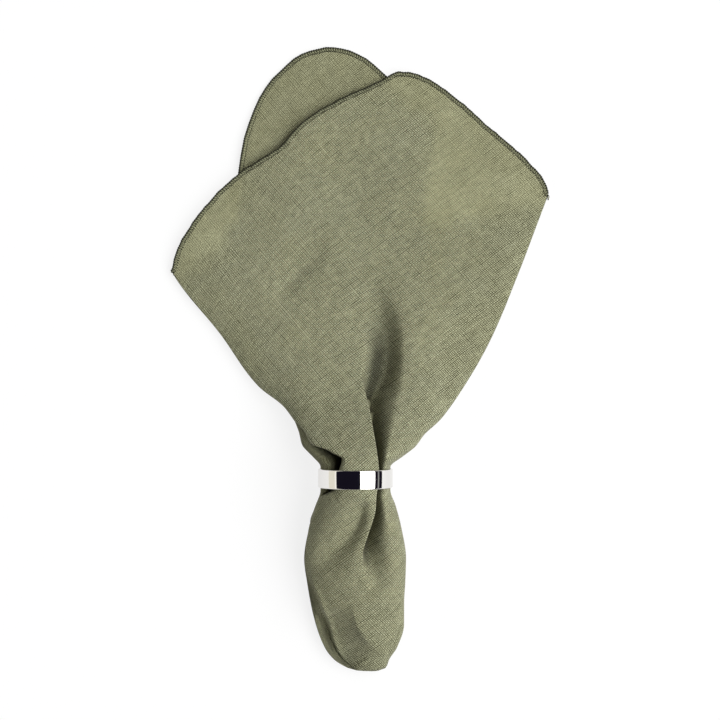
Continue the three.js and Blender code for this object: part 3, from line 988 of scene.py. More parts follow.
@dataclass(frozen=True)
class LinenFinish:
    """Washed plain-weave linen with uneven yarns, with painted light where one layer lies on the pale table
    and painted shade in the weave, on the main valley's left slope and along the hem.
    """

    dark: Colour = (0.012, 0.012, 0.002, 1.0)
    light: Colour = (0.272, 0.272, 0.164, 1.0)
    warm: Colour = (1.01, 1.0, 0.955, 1.0)
    cool: Colour = (0.99, 1.0, 1.035, 1.0)
    # Painted light where few layers lie below, standing in for light from the pale table shining through
    # the cloth
    painted_light_gain: float = 0.4
    painted_light_fade: float = 1.6
    warp_contrast: float = 0.14
    weft_contrast: float = 0.22
    fleck_contrast: float = 0.45
    slub_contrast: float = 0.95
    # Painted shade of the yarn's relief: thread tops lighter, the dips between them darker
    relief_painted_shade: float = 1.5
    # Painted shade in the spaces between threads: its amount for weft and warp, its mean share and how much
    # it changes
    weft_gap: float = 1.5
    warp_gap: float = 0.8
    gap_share: float = 0.5
    gap_change: float = 1.3
    calm_share: float = 0.55
    weft_gain: float = 0.12
    cloud_contrast: float = 0.16
    calm_cloud: float = 1.0
    wobble: float = 0.9
    # Strength of the painted shade on the main valley's left slope
    bank_painted_shade_strength: float = 0.7
    # Painted shadow on the cloth along the hem, under the stitching
    hem_shadow: float = 0.6
    hem_width: tuple[float, float] = (1.9, 2.7)
    bump_height: float = 0.00025
    wobble_step: float = 0.3
    wobble_run: float = 0.04
    wobble_apart: float = 37.0
    height_middle: float = 0.6
    value_range: tuple[float, float] = (0.0, 1.4)
    cloud_noise: tuple[float, float] = (0.03, 4.0)
    hue_noise: tuple[float, float] = (0.07, 3.0)
    hue_change: float = 0.8
    hue_gain: float = 2.0
    yarn_round: float = 0.5
    yarn_wave: float = 0.32
    yarn_level: float = 0.18
    gap_run: float = 0.2
    fleck_run: float = 0.16
    slub_run: float = 0.045
    slub_start: float = 0.2
    gap_stride: float = 6.1
    fleck_stride: float = 7.3
    fleck_shift: float = 7.0
    slub_stride: float = 5.7
    slub_shift: float = 3.0
    warp_starts: tuple[float, float] = (3.7, 8.9)
    weft_starts: tuple[float, float] = (11.3, 5.1)

    def make(self) -> bpy.types.Material:
        """Builds the weave from thread counts in the UV map.

        Returns:
            The material.
        """
        material, graph = plain_material("washed_linen")
        u, v, _ = graph.split(graph.shade("ShaderNodeUVMap", 0, {"uv_map": "threads"}, {}))
        sway = graph.vector(u * self.wobble_step, v * self.wobble_run)
        u = u + graph.noise(sway, 1.0, 1.0) * self.wobble
        sway = graph.vector(v * self.wobble_step + self.wobble_apart, u * self.wobble_run)
        v = v + graph.noise(sway, 1.0, 1.0) * self.wobble
        warp, weft = u.math("FLOOR"), v.math("FLOOR")
        height, warp_on_top = self.weave(graph, u, v, warp, weft)
        warp_tone = self.yarn(graph, warp, v, self.warp_starts[0], self.warp_contrast)
        weft_tone = self.yarn(graph, weft, u, self.weft_starts[0], self.weft_contrast)
        tone = warp_on_top * (warp_tone - self.weft_gain) + (1 - warp_on_top) * (weft_tone + self.weft_gain)
        # Painted shade in the spaces between threads
        gap_painted_shade = self.gap_painted_shade(graph, v, u, self.weft_starts[1]) * self.weft_gap
        gap_painted_shade = gap_painted_shade + self.gap_painted_shade(graph, u, v, self.warp_starts[1]) * self.warp_gap
        balance = self.gap_share / 3 * (self.weft_gap + self.warp_gap)
        place = graph.vector(u, v)
        calm = graph.mark("calm")
        cloud = graph.noise(place, *self.cloud_noise) * self.cloud_contrast * (1 + calm * self.calm_cloud)
        # The weave's height is painted into the colour as shade of its relief
        pattern = tone + (height - self.height_middle) * self.relief_painted_shade - gap_painted_shade + balance
        value = 0.5 + cloud + pattern * (1 - calm * self.calm_share)
        # Painted light where few layers lie below
        layers = graph.mark("layers_below")
        painted_light = 1 + self.painted_light_gain * graph.math("EXPONENT", layers * -self.painted_light_fade)
        least, most = self.value_range
        share = graph.math("MINIMUM", graph.math("MAXIMUM", value, least), most)
        weave = graph.tint(share, self.dark, self.light)
        warmth = graph.noise(place, *self.hue_noise) * self.hue_change + value * self.hue_gain - 1.0
        hue = graph.tint(warmth, self.warm, self.cool)
        # Painted shadow on the cloth along the hem
        away = graph.mark("hem_away")
        hem = (1 - graph.ease(away, *self.hem_width)) * self.hem_shadow
        # Painted shade on the main valley's left slope
        bank = 1 - graph.mark("bank") * self.bank_painted_shade_strength
        colour = graph.tint(1.0, weave, graph.grey(painted_light * bank * (1 - hem)), "MULTIPLY")
        colour = graph.tint(1.0, colour, hue, "MULTIPLY")
        graph.surface({
            "Base Color": colour,
            "Roughness": 0.88,
            "Specular IOR Level": 0.25,
            "Sheen Weight": 0.08,
            "Sheen Roughness": 0.5,
            "Normal": graph.bump(height, 1.0, self.bump_height),
        })
        return material

    def gap_painted_shade(self, graph: Graph, count: Shade, along: Shade, start: float) -> Shade:
        """Builds the painted shade of dark lines between the threads of one set, uneven along each line.

        Args:
            graph: The material's graph.
            count: Count of the set's threads.
            along: Count of threads crossed along them.
            start: Offset that keeps the two sets apart.

        Returns:
            Darkness, 0 in the middle of a thread.
        """
        line = (count + 0.5).math("FLOOR")
        near = 1 - graph.math("ABSOLUTE", count - line) * 2
        place = graph.vector(along * self.gap_run, line * self.gap_stride + start)
        uneven = graph.noise(place, 1.0, 1.0)
        return near * near * graph.math("MAXIMUM", self.gap_share + uneven * self.gap_change, 0.0)

    def weave(self, graph: Graph, u: Shade, v: Shade, warp: Shade, weft: Shade) -> tuple[Shade, Shade]:
        """Builds the height of the weave.

        Args:
            graph: The material's graph.
            u: Count of warp threads.
            v: Count of weft threads.
            warp: Number of the warp thread.
            weft: Number of the weft thread.

        Returns:
            The height from about 0 to 1, and 1 where the warp lies on top.
        """
        off_warp, off_weft = (u - warp - 0.5) * 2, (v - weft - 0.5) * 2
        wave_warp = graph.math("COSINE", (v - 0.5 + warp) * math.pi)
        wave_weft = graph.math("COSINE", (u - 0.5 + weft) * math.pi)
        high_warp = (1 - off_warp * off_warp) * self.yarn_round + wave_warp * self.yarn_wave
        high_weft = (1 - off_weft * off_weft) * self.yarn_round - wave_weft * self.yarn_wave
        top = graph.math("MAXIMUM", high_warp, high_weft)
        return top + self.yarn_level, graph.math("GREATER_THAN", high_warp, high_weft)

    def yarn(self, graph: Graph, thread: Shade, along: Shade, start: float, contrast: float) -> Shade:
        """Builds the uneven tone of one set of threads.

        Args:
            graph: The material's graph.
            thread: Number of the thread.
            along: Count of threads crossed along it.
            start: Offset that keeps the two sets apart.
            contrast: How far the threads differ from each other.

        Returns:
            Tone around 0.
        """
        plain = graph.scatter(thread + start) * contrast
        place = graph.vector(along * self.fleck_run, thread * self.fleck_stride + start * self.fleck_shift)
        fleck = graph.noise(place, 1.0, 1.0)
        place = graph.vector(along * self.slub_run, thread * self.slub_stride + start * self.slub_shift)
        slub = graph.noise(place, 1.0, 1.0)
        strong = graph.math("MAXIMUM", slub - self.slub_start, 0.0) * self.slub_contrast
        return plain + fleck * self.fleck_contrast + strong


@dataclass(frozen=True)
class ThreadFinish:
    """Dark green-grey sewing thread with a twist."""

    base: Colour = (0.285, 0.292, 0.180, 1.0)
    fleck_scale: float = 900.0
    fleck_range: tuple[float, float] = (0.75, 0.5)
    twist_depth: float = 0.0001

    def make(self) -> bpy.types.Material:
        """Builds the thread's colour and twist.

        Returns:
            The material.
        """
        material, graph = plain_material("hem_thread")
        place = graph.shade("ShaderNodeTexCoord", "Object", {}, {})
        fleck = graph.speckle(place, self.fleck_scale, 2.0)
        least, change = self.fleck_range
        value = (least + fleck * change) * graph.mark("tone")
        colour = graph.tint(1.0, self.base, graph.grey(value), "MULTIPLY")
        graph.surface({
            "Base Color": colour,
            "Roughness": 0.8,
            "Specular IOR Level": 0.05,
            "Normal": graph.bump(fleck, 0.6, self.twist_depth),
        })
        return material


@dataclass(frozen=True)
class PolishedFinish:
    """Bright nickel-plated metal with faint wiping marks."""

    base: Colour = (0.791, 0.777, 0.754, 1.0)
    wipe_round: float = 120.0
    wipe_across: float = 2600.0
    wipe_depth: float = 0.00002
    smear_scale: float = 160.0
    smear_range: tuple[float, float] = (0.45, 0.75)
    polish: float = 0.035
    smear_rough: float = 0.05
    wipe_rough: float = 0.02

    def make(self) -> bpy.types.Material:
        """Builds the polish.

        Returns:
            The material.
        """
        material, graph = plain_material("polished_nickel")
        place = graph.shade("ShaderNodeTexCoord", "Object", {}, {})
        x, y, z = graph.split(place)
        streaks = graph.vector(x * self.wipe_round, y * self.wipe_across, z * self.wipe_round)
        wipe = graph.speckle(streaks, 1.0, 2.0)
        smear = graph.ease(graph.speckle(place, self.smear_scale, 3.0), *self.smear_range)
        graph.surface({
            "Base Color": self.base,
            "Metallic": 1.0,
            "Roughness": self.polish + smear * self.smear_rough + wipe * self.wipe_rough,
            "Normal": graph.bump(wipe, 0.02, self.wipe_depth),
        })
        return material


@dataclass(frozen=True)
class TableFinish:
    """Matt white table top that glows, as a light table does, so that shadows on it stay pale."""

    base: Colour = (0.12, 0.12, 0.12, 1.0)
    glow: float = 0.84

    def make(self) -> bpy.types.Material:
        """Builds the table top.

        Returns:
            The material.
        """
        material, graph = plain_material("table_top")
        graph.surface({
            "Base Color": self.base,
            "Roughness": 0.7,
            "Specular IOR Level": 0.2,
            "Emission Color": (1.0, 1.0, 1.0, 1.0),
            "Emission Strength": self.glow,
        })
        return material


# Pieces


def add_mesh(name: str, vertices: Array, faces: Sequence[Sequence[int]]) -> bpy.types.Object:
    """Adds a smooth mesh object at the origin.

    Args:
        name: Its name.
        vertices: Points in metres.
        faces: Corner numbers of its faces.

    Returns:
        The object.
    """
    mesh = bpy.data.meshes.new(name)
    mesh.from_pydata(vertices.tolist(), [], faces)
    mesh.polygons.foreach_set("use_smooth", np.ones(len(mesh.polygons), bool))
    mesh.update()
    made = bpy.data.objects.new(name, mesh)
    bpy.context.scene.collection.objects.link(made)
    return made


def write_values(piece: bpy.types.Object, name: str, values: Array) -> None:
    """Writes one value on each point of a mesh.

    Args:
        piece: The piece.
        name: Name of the values.
        values: The values.
    """
    marks = piece.data.attributes.new(name, "FLOAT", "POINT")
    marks.data.foreach_set("value", values.astype(np.float32))


def pick(piece: bpy.types.Object) -> None:
    """Makes a piece the only one that operators act on.

    Args:
        piece: The piece.
    """
    bpy.ops.object.select_all(action="DESELECT")
    piece.select_set(True)
    bpy.context.view_layer.objects.active = piece


def apply_modifier(piece: bpy.types.Object, kind: str, **settings: Any) -> None:
    """Adds a modifier to a piece and applies it.

    Args:
        piece: The piece.
        kind: The modifier's type.
        settings: The modifier's settings.
    """
    modifier = piece.modifiers.new(kind.lower(), kind)
    for name, value in settings.items():
        setattr(modifier, name, value)
    pick(piece)
    bpy.ops.object.modifier_apply(modifier=modifier.name)


@dataclass
class Ring:
    """The flat polished band around the bundle."""

    wall: float = 1.2 * MM
    rim_round: float = 0.6 * MM
    facets: int = 192
    rim_segments: int = 4
    bevel_angle: float = 50.0
    smooth_angle: float = 35.0

    def __post_init__(self) -> None:
        """Reads the ring's place and size from the frame."""
        low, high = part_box("ring")
        self.centre = (low + high) / 2
        self.radius = (high.z - low.z) / 2
        self.width = high.y - low.y

    def build(self) -> bpy.types.Object:
        """Models the band from a circle.

        Returns:
            The ring.
        """
        bpy.ops.object.select_all(action="DESELECT")
        start = self.centre - Vector((0, self.width / 2, 0))
        bpy.ops.mesh.primitive_circle_add(
            vertices=self.facets, radius=self.radius, location=start, rotation=(math.pi / 2, 0, 0))
        band = bpy.context.object
        band.name = "ring_band"
        bpy.ops.object.transform_apply(location=True, rotation=True, scale=True)
        bpy.ops.object.mode_set(mode="EDIT")
        bpy.ops.mesh.select_all(action="SELECT")
        bpy.ops.mesh.extrude_region_move(TRANSFORM_OT_translate={"value": (0, self.width, 0)})
        bpy.ops.mesh.select_all(action="SELECT")
        bpy.ops.mesh.normals_make_consistent(inside=False)
        bpy.ops.object.mode_set(mode="OBJECT")
        apply_modifier(band, "SOLIDIFY", thickness=self.wall, offset=-1.0)
        apply_modifier(
            band, "BEVEL", width=self.rim_round, segments=self.rim_segments, limit_method="ANGLE",
            angle_limit=math.radians(self.bevel_angle))
        pick(band)
        bpy.ops.object.shade_smooth_by_angle(angle=math.radians(self.smooth_angle))
        return band

    def dress(self, band: bpy.types.Object) -> None:
        """Gives the band its finish and its place in the frame.

        Args:
            band: The ring.
        """
        band.data.materials.append(PolishedFinish().make())
        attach(band, "root")
        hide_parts("ring")


class Columns(NamedTuple):
    """Neighbouring columns of the mesh: points, the same without creases, layers below, which set painted
    light, and painted shade on the valley's left slope.
    """

    points: Array
    plain: Array
    below: Array
    bank: Array


@dataclass
class Napkin:
    """The linen square, folded to and fro and drawn through the ring."""

    ring: Ring
    thickness: float = 0.6
    hem_rest: float = 0.9
    hem_rest_rows: int = 3
    warp_pitch: float = 1.12
    weft_pitch: float = 0.95
    warp_angle: float = 49.0
    weft_angle: float = 36.0
    weft_turn: float = 0.0092
    turn_start: float = -10.0
    tail_calm: float = 0.35
    tail_calm_end: tuple[float, float] = (-25.0, 0.0)
    steep_calm: float = 1.45
    steep: tuple[float, float] = (1.5, 3.0)
    first_row: float = 0.5
    hem_rows: int = 54
    hem_row_shift: float = 0.12
    hem_start: float = 300.0
    hem_passes: int = 8
    # Counted as extra layers below the lobe, so that it gets less painted light: painted shade on the lobe
    lobe_painted_shade: float = 0.45
    row_spans: tuple[Rows, ...] = (Rows(20, 14), Rows(95, 42), Rows(150, 42), Rows(200, 40))
    step_least: float = 0.05
    flat_side: float = 0.45

    def __post_init__(self) -> None:
        """Lays out the surface and the rows of the mesh."""
        self.linen = FoldedLinen()
        starts = [self.first_row] + [span.end for span in self.row_spans[:-1]]
        spans = [
            np.linspace(start, span.end, span.count, endpoint=False)
            for start, span in zip(starts, self.row_spans)
        ]
        self.stations = np.concatenate(spans)
        self.open_start = self.row_spans[-1].end
        shares = np.linspace(0.0, 1.0, self.hem_rows)
        self.hem_shares = shares + self.hem_row_shift * np.sin(np.pi * shares)
        self.points = np.zeros((0, 0, 3))
        self.plain = np.zeros((0, 0, 3))
        self.layers_below = np.zeros((0, 0))
        self.bank = np.zeros((0, 0))

    def reaches(self, hem: Array) -> Array:
        """Gives the rows of columns that end at their own hems.

        Args:
            hem: Distances of the columns' hems from the tip.

        Returns:
            Distances from the tip, by column and row.
        """
        common = np.broadcast_to(self.stations, (len(hem), len(self.stations)))
        rest = mix(self.open_start, hem[:, None], self.hem_shares[None, :])
        return np.concatenate((common, rest), axis=1)

    def strip(self, layer: int, ends: tuple[Break, Break], t: Array) -> Columns:
        """Lays out a strip of columns across a layer.

        Args:
            layer: The layer.
            ends: The breaks that the strip runs between.
            t: Places of the columns between them.

        Returns:
            The columns.
        """
        hem = np.full(len(t), self.hem_start)
        for _ in range(self.hem_passes):
            x = self.linen.strip_x(layer, ends, t, hem)
            hem = self.linen.hem_reach(layer, self.linen.share(x, hem))
        reach = self.reaches(hem)
        points = self.linen.strip_point(layer, ends, t[:, None], reach)
        x = self.linen.strip_x(layer, ends, t[:, None], reach)
        plain = self.linen.layer_point(layer, x, reach, relief=False) if layer == Layer.FRONT else points
        if layer not in (Layer.FRONT, Layer.BACK):
            points = self.linen.tucked(points, layer - 0.5, t[:, None] - 0.5, reach)
        below = self.linen.cover(layer, points[..., 0], reach)
        inside = 1 - smooth(reach, *OPENING)
        hidden = inside if layer in (Layer.FRONT, Layer.LOBE) else np.ones(reach.shape)
        # The lobe counts extra layers below, so that it gets less painted light: painted shade
        shaded = self.lobe_painted_shade if layer == Layer.LOBE else 0.0
        # Painted shade on the main valley's left slope, on the front layer alone
        bank = self.linen.bank(x, reach) if layer == Layer.FRONT else np.zeros(reach.shape)
        return Columns(points, plain, below + hidden * len(FOLDS) + shaded, bank)

    def tip(self, fold: int, angles: Sequence[float]) -> Columns:
        """Lays out the columns around the tip of a fold.

        Args:
            fold: The fold.
            angles: Degrees around the tip.

        Returns:
            The columns.
        """
        angle = np.asarray(angles, float)
        hem = np.full(len(angle), float(self.linen.hem_reach(fold, np.asarray(FOLDS[fold].fan))))
        reach = self.reaches(hem)
        points = self.linen.tip_point(fold, angle[:, None], reach)
        if fold != Layer.BACK:
            tilt = -angle[:, None] / 360
            points = self.linen.tucked(points, FOLDS[fold].level, tilt, reach)
        return Columns(points, points, np.full(reach.shape, float(len(FOLDS))), np.zeros(reach.shape))

    def lay_out(self) -> None:
        """Lays out all columns around the napkin, from the middle of the back layer and back to it."""
        groups = []
        back = np.sin(np.linspace(0.0, np.pi / 2, FOLDS[Layer.BACK].columns + 1))
        middle = len(back) // 2
        whole = (Break.START, Break.END)
        groups.append(self.strip(Layer.BACK, whole, back[middle:]))
        groups.append(self.tip(Layer.BACK, TIP_ANGLES[Layer.BACK]))
        for start, end, count in FRONT_STRIPS:
            first = 0 if start is Break.START else 1
            places = np.arange(first, count + 1) / count
            if end is Break.EDGE:
                self.edge_column = sum(len(group.points) for group in groups) + count - first
                places = 1 - (1 - places) ** 2
            groups.append(self.strip(Layer.FRONT, (start, end), places))
        groups.append(self.tip(Layer.FRONT, TIP_ANGLES[Layer.FRONT]))
        self.front_columns = range(len(back) - middle, sum(len(group.points) for group in groups))
        for layer in range(1, Layer.BACK):
            count = FOLDS[layer].columns
            groups.append(self.strip(layer, whole, np.arange(count + 1) / count))
            groups.append(self.tip(layer, INNER_TIP_ANGLES))
        groups.append(self.strip(Layer.BACK, whole, back[:middle]))
        self.points = np.concatenate([group.points for group in groups]).transpose(1, 0, 2)
        self.plain = np.concatenate([group.plain for group in groups]).transpose(1, 0, 2)
        self.layers_below = np.concatenate([group.below for group in groups]).T
        self.bank = np.concatenate([group.bank for group in groups]).T
        rise = np.full(len(self.points), REST)
        rise[-self.hem_rest_rows:] = np.linspace(REST, self.hem_rest, self.hem_rest_rows)
        self.points[..., 2] = np.maximum(self.points[..., 2], rise[:, None])

    def place(self, points: Array) -> Array:
        """Moves points from the napkin's own frame to the model's, in metres."""
        shift = np.array((self.ring.centre.x / MM - RING_X, self.ring.centre.y / MM, 0.0))
        return (points + shift) * MM

    def thread_counts(self) -> Array:
        """Counts warp and weft threads over the laid-out cloth.

        Returns:
            Counts by row and column, with one more column that closes the loop.
        """
        closed = np.concatenate((self.plain, self.plain[:, :1]), axis=1)
        steps = np.diff(closed, axis=1)
        lengths = np.hypot(steps[..., 0], steps[..., 2])
        arc = np.concatenate((np.zeros((len(closed), 1)), np.cumsum(lengths, axis=1)), axis=1)
        edge_x = closed[:, self.edge_column, 0]
        across = edge_x[:, None] - (arc - arc[:, self.edge_column, None])
        along = closed[..., 1]
        opened = smooth(along + RING_REACH, *OPENING)
        opened[:, self.front_columns] = 0.0
        across = mix(across, closed[..., 0], opened)
        turned = np.minimum(across - self.turn_start, 0.0)
        slope = math.tan(math.radians(self.weft_angle))
        rise = slope * across - 0.5 * self.weft_turn * turned**2
        weft = math.cos(math.radians(self.weft_angle)) * (along - rise)
        warp_slope = math.tan(math.radians(self.warp_angle))
        warp = math.cos(math.radians(self.warp_angle)) * (along + warp_slope * across)
        return np.stack((warp / self.warp_pitch, weft / self.weft_pitch), axis=-1)

    def build(self) -> bpy.types.Object:
        """Builds the cloth as one closed sheet.

        Returns:
            The cloth.
        """
        self.lay_out()
        rows, columns, _ = self.points.shape
        pole = self.points[0].mean(axis=0) - np.array((0.0, self.thickness / 2, 0.0))
        vertices = self.place(np.concatenate((self.points.reshape(-1, 3), pole[None])))
        corner = np.arange(rows * columns).reshape(rows, columns)
        beside = np.roll(corner, -1, axis=1)
        quads = np.stack((corner[:-1], corner[1:], beside[1:], beside[:-1]), axis=-1).reshape(-1, 4)
        centre = np.full(columns, rows * columns)
        closing = np.stack((corner[0], beside[0], centre), axis=-1)
        cloth = add_mesh("linen_napkin", vertices, quads.tolist() + closing.tolist())
        self.mark(cloth)
        apply_modifier(cloth, "SOLIDIFY", thickness=self.thickness * MM, offset=0.0)
        return cloth

    def mark(self, cloth: bpy.types.Object) -> None:
        """Writes on the mesh what the linen's finish reads.

        Args:
            cloth: The cloth.
        """
        counts = self.thread_counts()
        rows, columns, _ = self.points.shape
        here, beside = counts[:, :-1], counts[:, 1:]
        quads = np.stack((here[:-1], here[1:], beside[1:], beside[:-1]), axis=-2).reshape(-1, 2)
        centre = np.broadcast_to(counts[0].mean(axis=0), (columns, 2))
        closing = np.stack((here[0], beside[0], centre), axis=-2).reshape(-1, 2)
        layer = cloth.data.uv_layers.new(name="threads")
        layer.uv.foreach_set("vector", np.concatenate((quads, closing)).astype(np.float32).ravel())
        # Layers below set the painted light of the linen
        write_values(cloth, "layers_below", np.append(self.layers_below.ravel(), len(FOLDS)))
        front = np.zeros(columns, bool)
        front[self.front_columns] = True
        still = np.where(front, np.exp(-self.layers_below), 1.0)
        still = np.maximum(still, self.tail_calm * (1 - smooth(self.points[..., 1], *self.tail_calm_end)))
        steps, flat = (
            np.linalg.norm(np.roll(each, -1, axis=1) - each, axis=-1) for each in (self.points, self.plain)
        )
        still = still + self.steep_calm * smooth(steps / np.maximum(flat, self.step_least), *self.steep)
        write_values(cloth, "calm", np.append(still.ravel(), 1.0))
        # Painted shade on the main valley's left slope
        write_values(cloth, "bank", np.append(self.bank.ravel(), 0.0))
        # Distance from the hem, for the painted shadow along it
        away = np.linalg.norm(self.points - self.points[-1:], axis=-1)
        write_values(cloth, "hem_away", np.append(away.ravel(), away.max()))

    def dress(self, cloth: bpy.types.Object, stitching: bpy.types.Object) -> None:
        """Gives the cloth its finish and its place in the frame.

        Args:
            cloth: The cloth.
            stitching: The sewing of its hem; not used.
        """
        cloth.data.materials.append(LinenFinish().make())
        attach(cloth, "root")
        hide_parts("napkin")


class Bend(NamedTuple):
    """A place on a thread: into the cloth, off its face, along the hem in pitches, and its tone."""

    inward: float
    outward: float
    ahead: float
    tone: float


@dataclass
class HemStitching:
    """Overlock sewing around the whole hem: slanted threads over the edge and a bead along it."""

    napkin: Napkin
    pitch: float = 1.4
    thread_radius: float = 0.27
    needle_radius: float = 0.24
    bead_radius: float = 0.48
    bead_pulse: float = 0.16
    bead_sides: int = 6
    inward_rows: int = 3
    bead_tone: float = 0.11
    bead_rings: int = 3
    thread_lean: float = 0.3
    table_gap: float = 0.02
    path: tuple[Bend, ...] = (
        Bend(2.05, 0.10, 0.00, 0.16), Bend(1.70, 0.38, 0.06, 0.22), Bend(1.60, 0.44, 0.10, 0.90),
        Bend(0.80, 0.50, 0.56, 1.00), Bend(0.50, 0.48, 0.64, 0.40), Bend(0.00, 0.42, 0.68, 0.12),
        Bend(-0.40, 0.00, 0.70, 0.10), Bend(0.00, -0.42, 0.66, 0.12), Bend(0.90, -0.48, 0.52, 0.60),
        Bend(2.05, -0.10, 0.00, 0.16),
    )
    needle_path: tuple[Bend, ...] = (
        Bend(2.10, 0.10, -0.25, 0.10), Bend(2.20, 0.36, -0.08, 0.10), Bend(2.20, 0.36, 0.08, 0.10),
        Bend(2.10, 0.10, 0.25, 0.10),
    )

    def frames(self, count: int) -> tuple[Array, Array, Array, Array]:
        """Spaces frames evenly around the hem.

        Args:
            count: Number of frames.

        Returns:
            Their places, and their directions along the hem, into the cloth and off its face.
        """
        hem = self.napkin.points[-1]
        inward = self.napkin.points[-1 - self.inward_rows] - hem
        closed = np.concatenate((hem, hem[:1]))
        inner = np.concatenate((inward, inward[:1]))
        arc = np.concatenate(([0.0], np.cumsum(np.linalg.norm(np.diff(closed, axis=0), axis=1))))
        places = np.arange(count) * arc[-1] / count
        spot = np.stack([np.interp(places, arc, closed[:, i]) for i in range(3)], axis=-1)
        into = np.stack([np.interp(places, arc, inner[:, i]) for i in range(3)], axis=-1)
        along = np.roll(spot, -1, axis=0) - np.roll(spot, 1, axis=0)
        along /= np.linalg.norm(along, axis=1, keepdims=True)
        into -= along * np.sum(into * along, axis=1, keepdims=True)
        into /= np.linalg.norm(into, axis=1, keepdims=True)
        return spot, along, into, np.cross(along, into)

    def length(self) -> float:
        """Measures the hem."""
        hem = self.napkin.points[-1]
        return float(np.linalg.norm(np.roll(hem, -1, axis=0) - hem, axis=1).sum())

    def stitches(self, path: Sequence[Bend], radius: float) -> tuple[Array, Array, Array]:
        """Lays a short thread at every pitch.

        Args:
            path: Its bends.
            radius: Its radius.

        Returns:
            Vertices, quads and the tones of the vertices.
        """
        count = round(self.length() / self.pitch)
        spot, along, into, off = (part[:, None] for part in self.frames(count))
        inward, outward, ahead, tone = np.array(path).T[..., None]
        centre = spot + into * inward + off * outward + along * (ahead * self.pitch)
        tangent = np.gradient(centre, axis=1)
        tangent /= np.linalg.norm(tangent, axis=2, keepdims=True)
        side = np.cross(tangent, off + self.thread_lean * along)
        side /= np.linalg.norm(side, axis=2, keepdims=True)
        other = np.cross(tangent, side)
        corners = np.stack([centre + radius * way for way in (side, other, -side, -other)], axis=2)
        tones = np.broadcast_to(tone[None], corners.shape[:3]).ravel()
        return *self.tubes(corners, closed=False), tones

    def bead(self) -> tuple[Array, Array, Array]:
        """Runs a beaded thread along the very edge.

        Returns:
            Vertices, quads and the tones of the vertices.
        """
        count = self.bead_rings * round(self.length() / self.pitch)
        spot, _, into, off = self.frames(count)
        beat = np.cos(2 * np.pi * np.arange(count) / self.bead_rings)
        pulse = self.bead_radius + self.bead_pulse * beat[:, None]
        corners = []
        for angle in np.arange(self.bead_sides) * 2 * np.pi / self.bead_sides:
            corners.append(spot + pulse * (into * math.cos(angle) + off * math.sin(angle)))
        rings = np.stack(corners, axis=1)[None]
        return *self.tubes(rings, closed=True), np.full(rings[0, ..., 0].size, self.bead_tone)

    @staticmethod
    def tubes(corners: Array, closed: bool) -> tuple[Array, Array]:
        """Skins tubes from rings of corners.

        Args:
            corners: Points by tube, ring and corner.
            closed: Whether each tube closes on itself.

        Returns:
            Vertices and quads.
        """
        tubes, rings, sides, _ = corners.shape
        number = np.arange(tubes * rings * sides).reshape(tubes, rings, sides)
        ahead = np.roll(number, -1, axis=1)
        if not closed:
            number, ahead = number[:, :-1], ahead[:, :-1]
        quads = np.stack((number, ahead, np.roll(ahead, -1, axis=2), np.roll(number, -1, axis=2)), axis=-1)
        return corners.reshape(-1, 3), quads.reshape(-1, 4)

    def build(self) -> bpy.types.Object:
        """Builds all the sewing as one mesh.

        Returns:
            The stitching.
        """
        vertices, quads, tones = [], [], []
        for points, faces, shades in (
            self.stitches(self.path, self.thread_radius),
            self.stitches(self.needle_path, self.needle_radius),
            self.bead(),
        ):
            quads.append(faces + sum(len(part) for part in vertices))
            vertices.append(points)
            tones.append(shades)
        points = np.concatenate(vertices)
        points[:, 2] = np.maximum(points[:, 2], self.table_gap)
        stitching = add_mesh("hem_stitching", self.napkin.place(points), np.concatenate(quads).tolist())
        write_values(stitching, "tone", np.concatenate(tones))
        return stitching

    def dress(self, stitching: bpy.types.Object) -> None:
        """Gives the sewing its finish and its place in the frame.

        Args:
            stitching: The sewing.
        """
        stitching.data.materials.append(ThreadFinish().make())
        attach(stitching, "root")


class Panel(NamedTuple):
    """A bright panel of the studio: degrees from straight up to the right, half width, light and colour."""

    start: float
    end: float
    reach: float
    light: float
    colour: Colour = (1.0, 1.0, 1.0, 1.0)


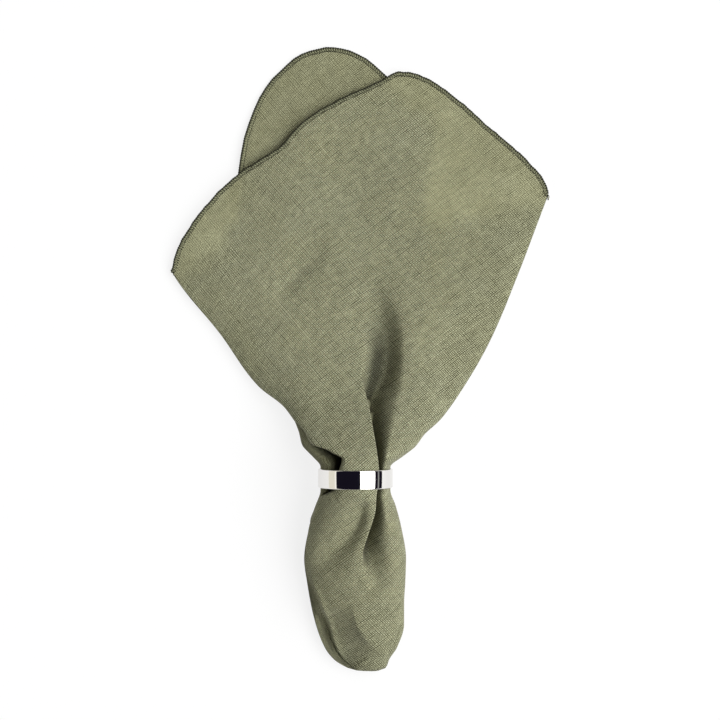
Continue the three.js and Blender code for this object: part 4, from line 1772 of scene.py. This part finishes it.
@dataclass
class Studio:
    """Pale table, soft light from the right and a camera straight above."""

    camera_place: tuple[float, float, float] = (0.0006, -0.0015, 1.0)
    lens: float = 87.4
    table_side: float = 40.0
    ambient: Colour = (0.008, 0.007, 0.014, 1.0)
    edge: float = 2.0
    fade: float = 0.1
    panels: tuple[Panel, ...] = (
        Panel(16.5, 34, 0.7, 4.6),
        Panel(34, 61, 0.7, 5.6),
        Panel(-100, -66, 0.95, 0.915, (1.0, 0.965, 0.84, 1.0)),
        Panel(-65, -62, 0.95, 1.14, (1.0, 0.98, 0.93, 1.0)),
        Panel(74, 77, 0.95, 0.325),
        Panel(91, 110, 0.95, 0.98),
    )

    def build(self) -> bpy.types.Object:
        """Sets up the table, the light and the camera.

        Returns:
            The table.
        """
        bpy.ops.object.select_all(action="DESELECT")
        bpy.ops.mesh.primitive_plane_add(size=self.table_side)
        table = bpy.context.object
        table.name = "table_top"
        table.data.materials.append(TableFinish().make())
        self.light()
        self.look()
        return table

    def light(self) -> None:
        """Paints the studio's bright panels on the world."""
        world = bpy.data.worlds.new("studio")
        world.use_nodes = True
        bpy.context.scene.world = world
        graph = Graph(world.node_tree)
        x, y, z = graph.split(graph.shade("ShaderNodeTexCoord", "Generated", {}, {}))
        angle = graph.math("ARCTAN2", x, z) * (180 / math.pi)
        aside = graph.math("ABSOLUTE", y)
        colour = self.ambient
        for panel in self.panels:
            inside = graph.ease(angle, panel.start - self.edge, panel.start)
            inside = inside * (1 - graph.ease(angle, panel.end, panel.end + self.edge))
            inside = inside * (1 - graph.ease(aside, panel.reach - self.fade, panel.reach))
            bright = tuple(panel.light * part for part in panel.colour[:3]) + (1.0,)
            colour = graph.tint(inside, colour, bright)
        shader = graph.shade("ShaderNodeBackground", 0, {}, {"Color": colour, "Strength": 1.0})
        graph.node("ShaderNodeOutputWorld", {}, {"Surface": shader})

    def look(self) -> None:
        """Places the camera above the napkin and keeps colours as they are."""
        data = bpy.data.cameras.new("camera")
        data.lens = self.lens
        data.clip_start = 0.01
        camera = bpy.data.objects.new("camera", data)
        camera.location = self.camera_place
        bpy.context.scene.collection.objects.link(camera)
        bpy.context.scene.camera = camera
        bpy.context.scene.view_settings.view_transform = "Standard"


def main() -> None:
    """Builds and dresses the napkin, its sewing, the ring and the studio."""
    logging.basicConfig(level=logging.INFO, format="%(name)s: %(message)s")
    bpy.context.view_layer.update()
    ring = Ring()
    band = ring.build()
    ring.dress(band)
    LOG.info("%s: %d faces", band.name, len(band.data.polygons))
    napkin = Napkin(ring)
    cloth = napkin.build()
    sewing = HemStitching(napkin)
    stitching = sewing.build()
    sewing.dress(stitching)
    faces = len(stitching.data.polygons)
    LOG.info("%s: %d faces on %.0f mm of hem", stitching.name, faces, sewing.length())
    napkin.dress(cloth, stitching)
    LOG.info("%s: %d faces", cloth.name, len(cloth.data.polygons))
    table = Studio().build()
    LOG.info("%s: stage", table.name)


if __name__ == "__main__":
    main()
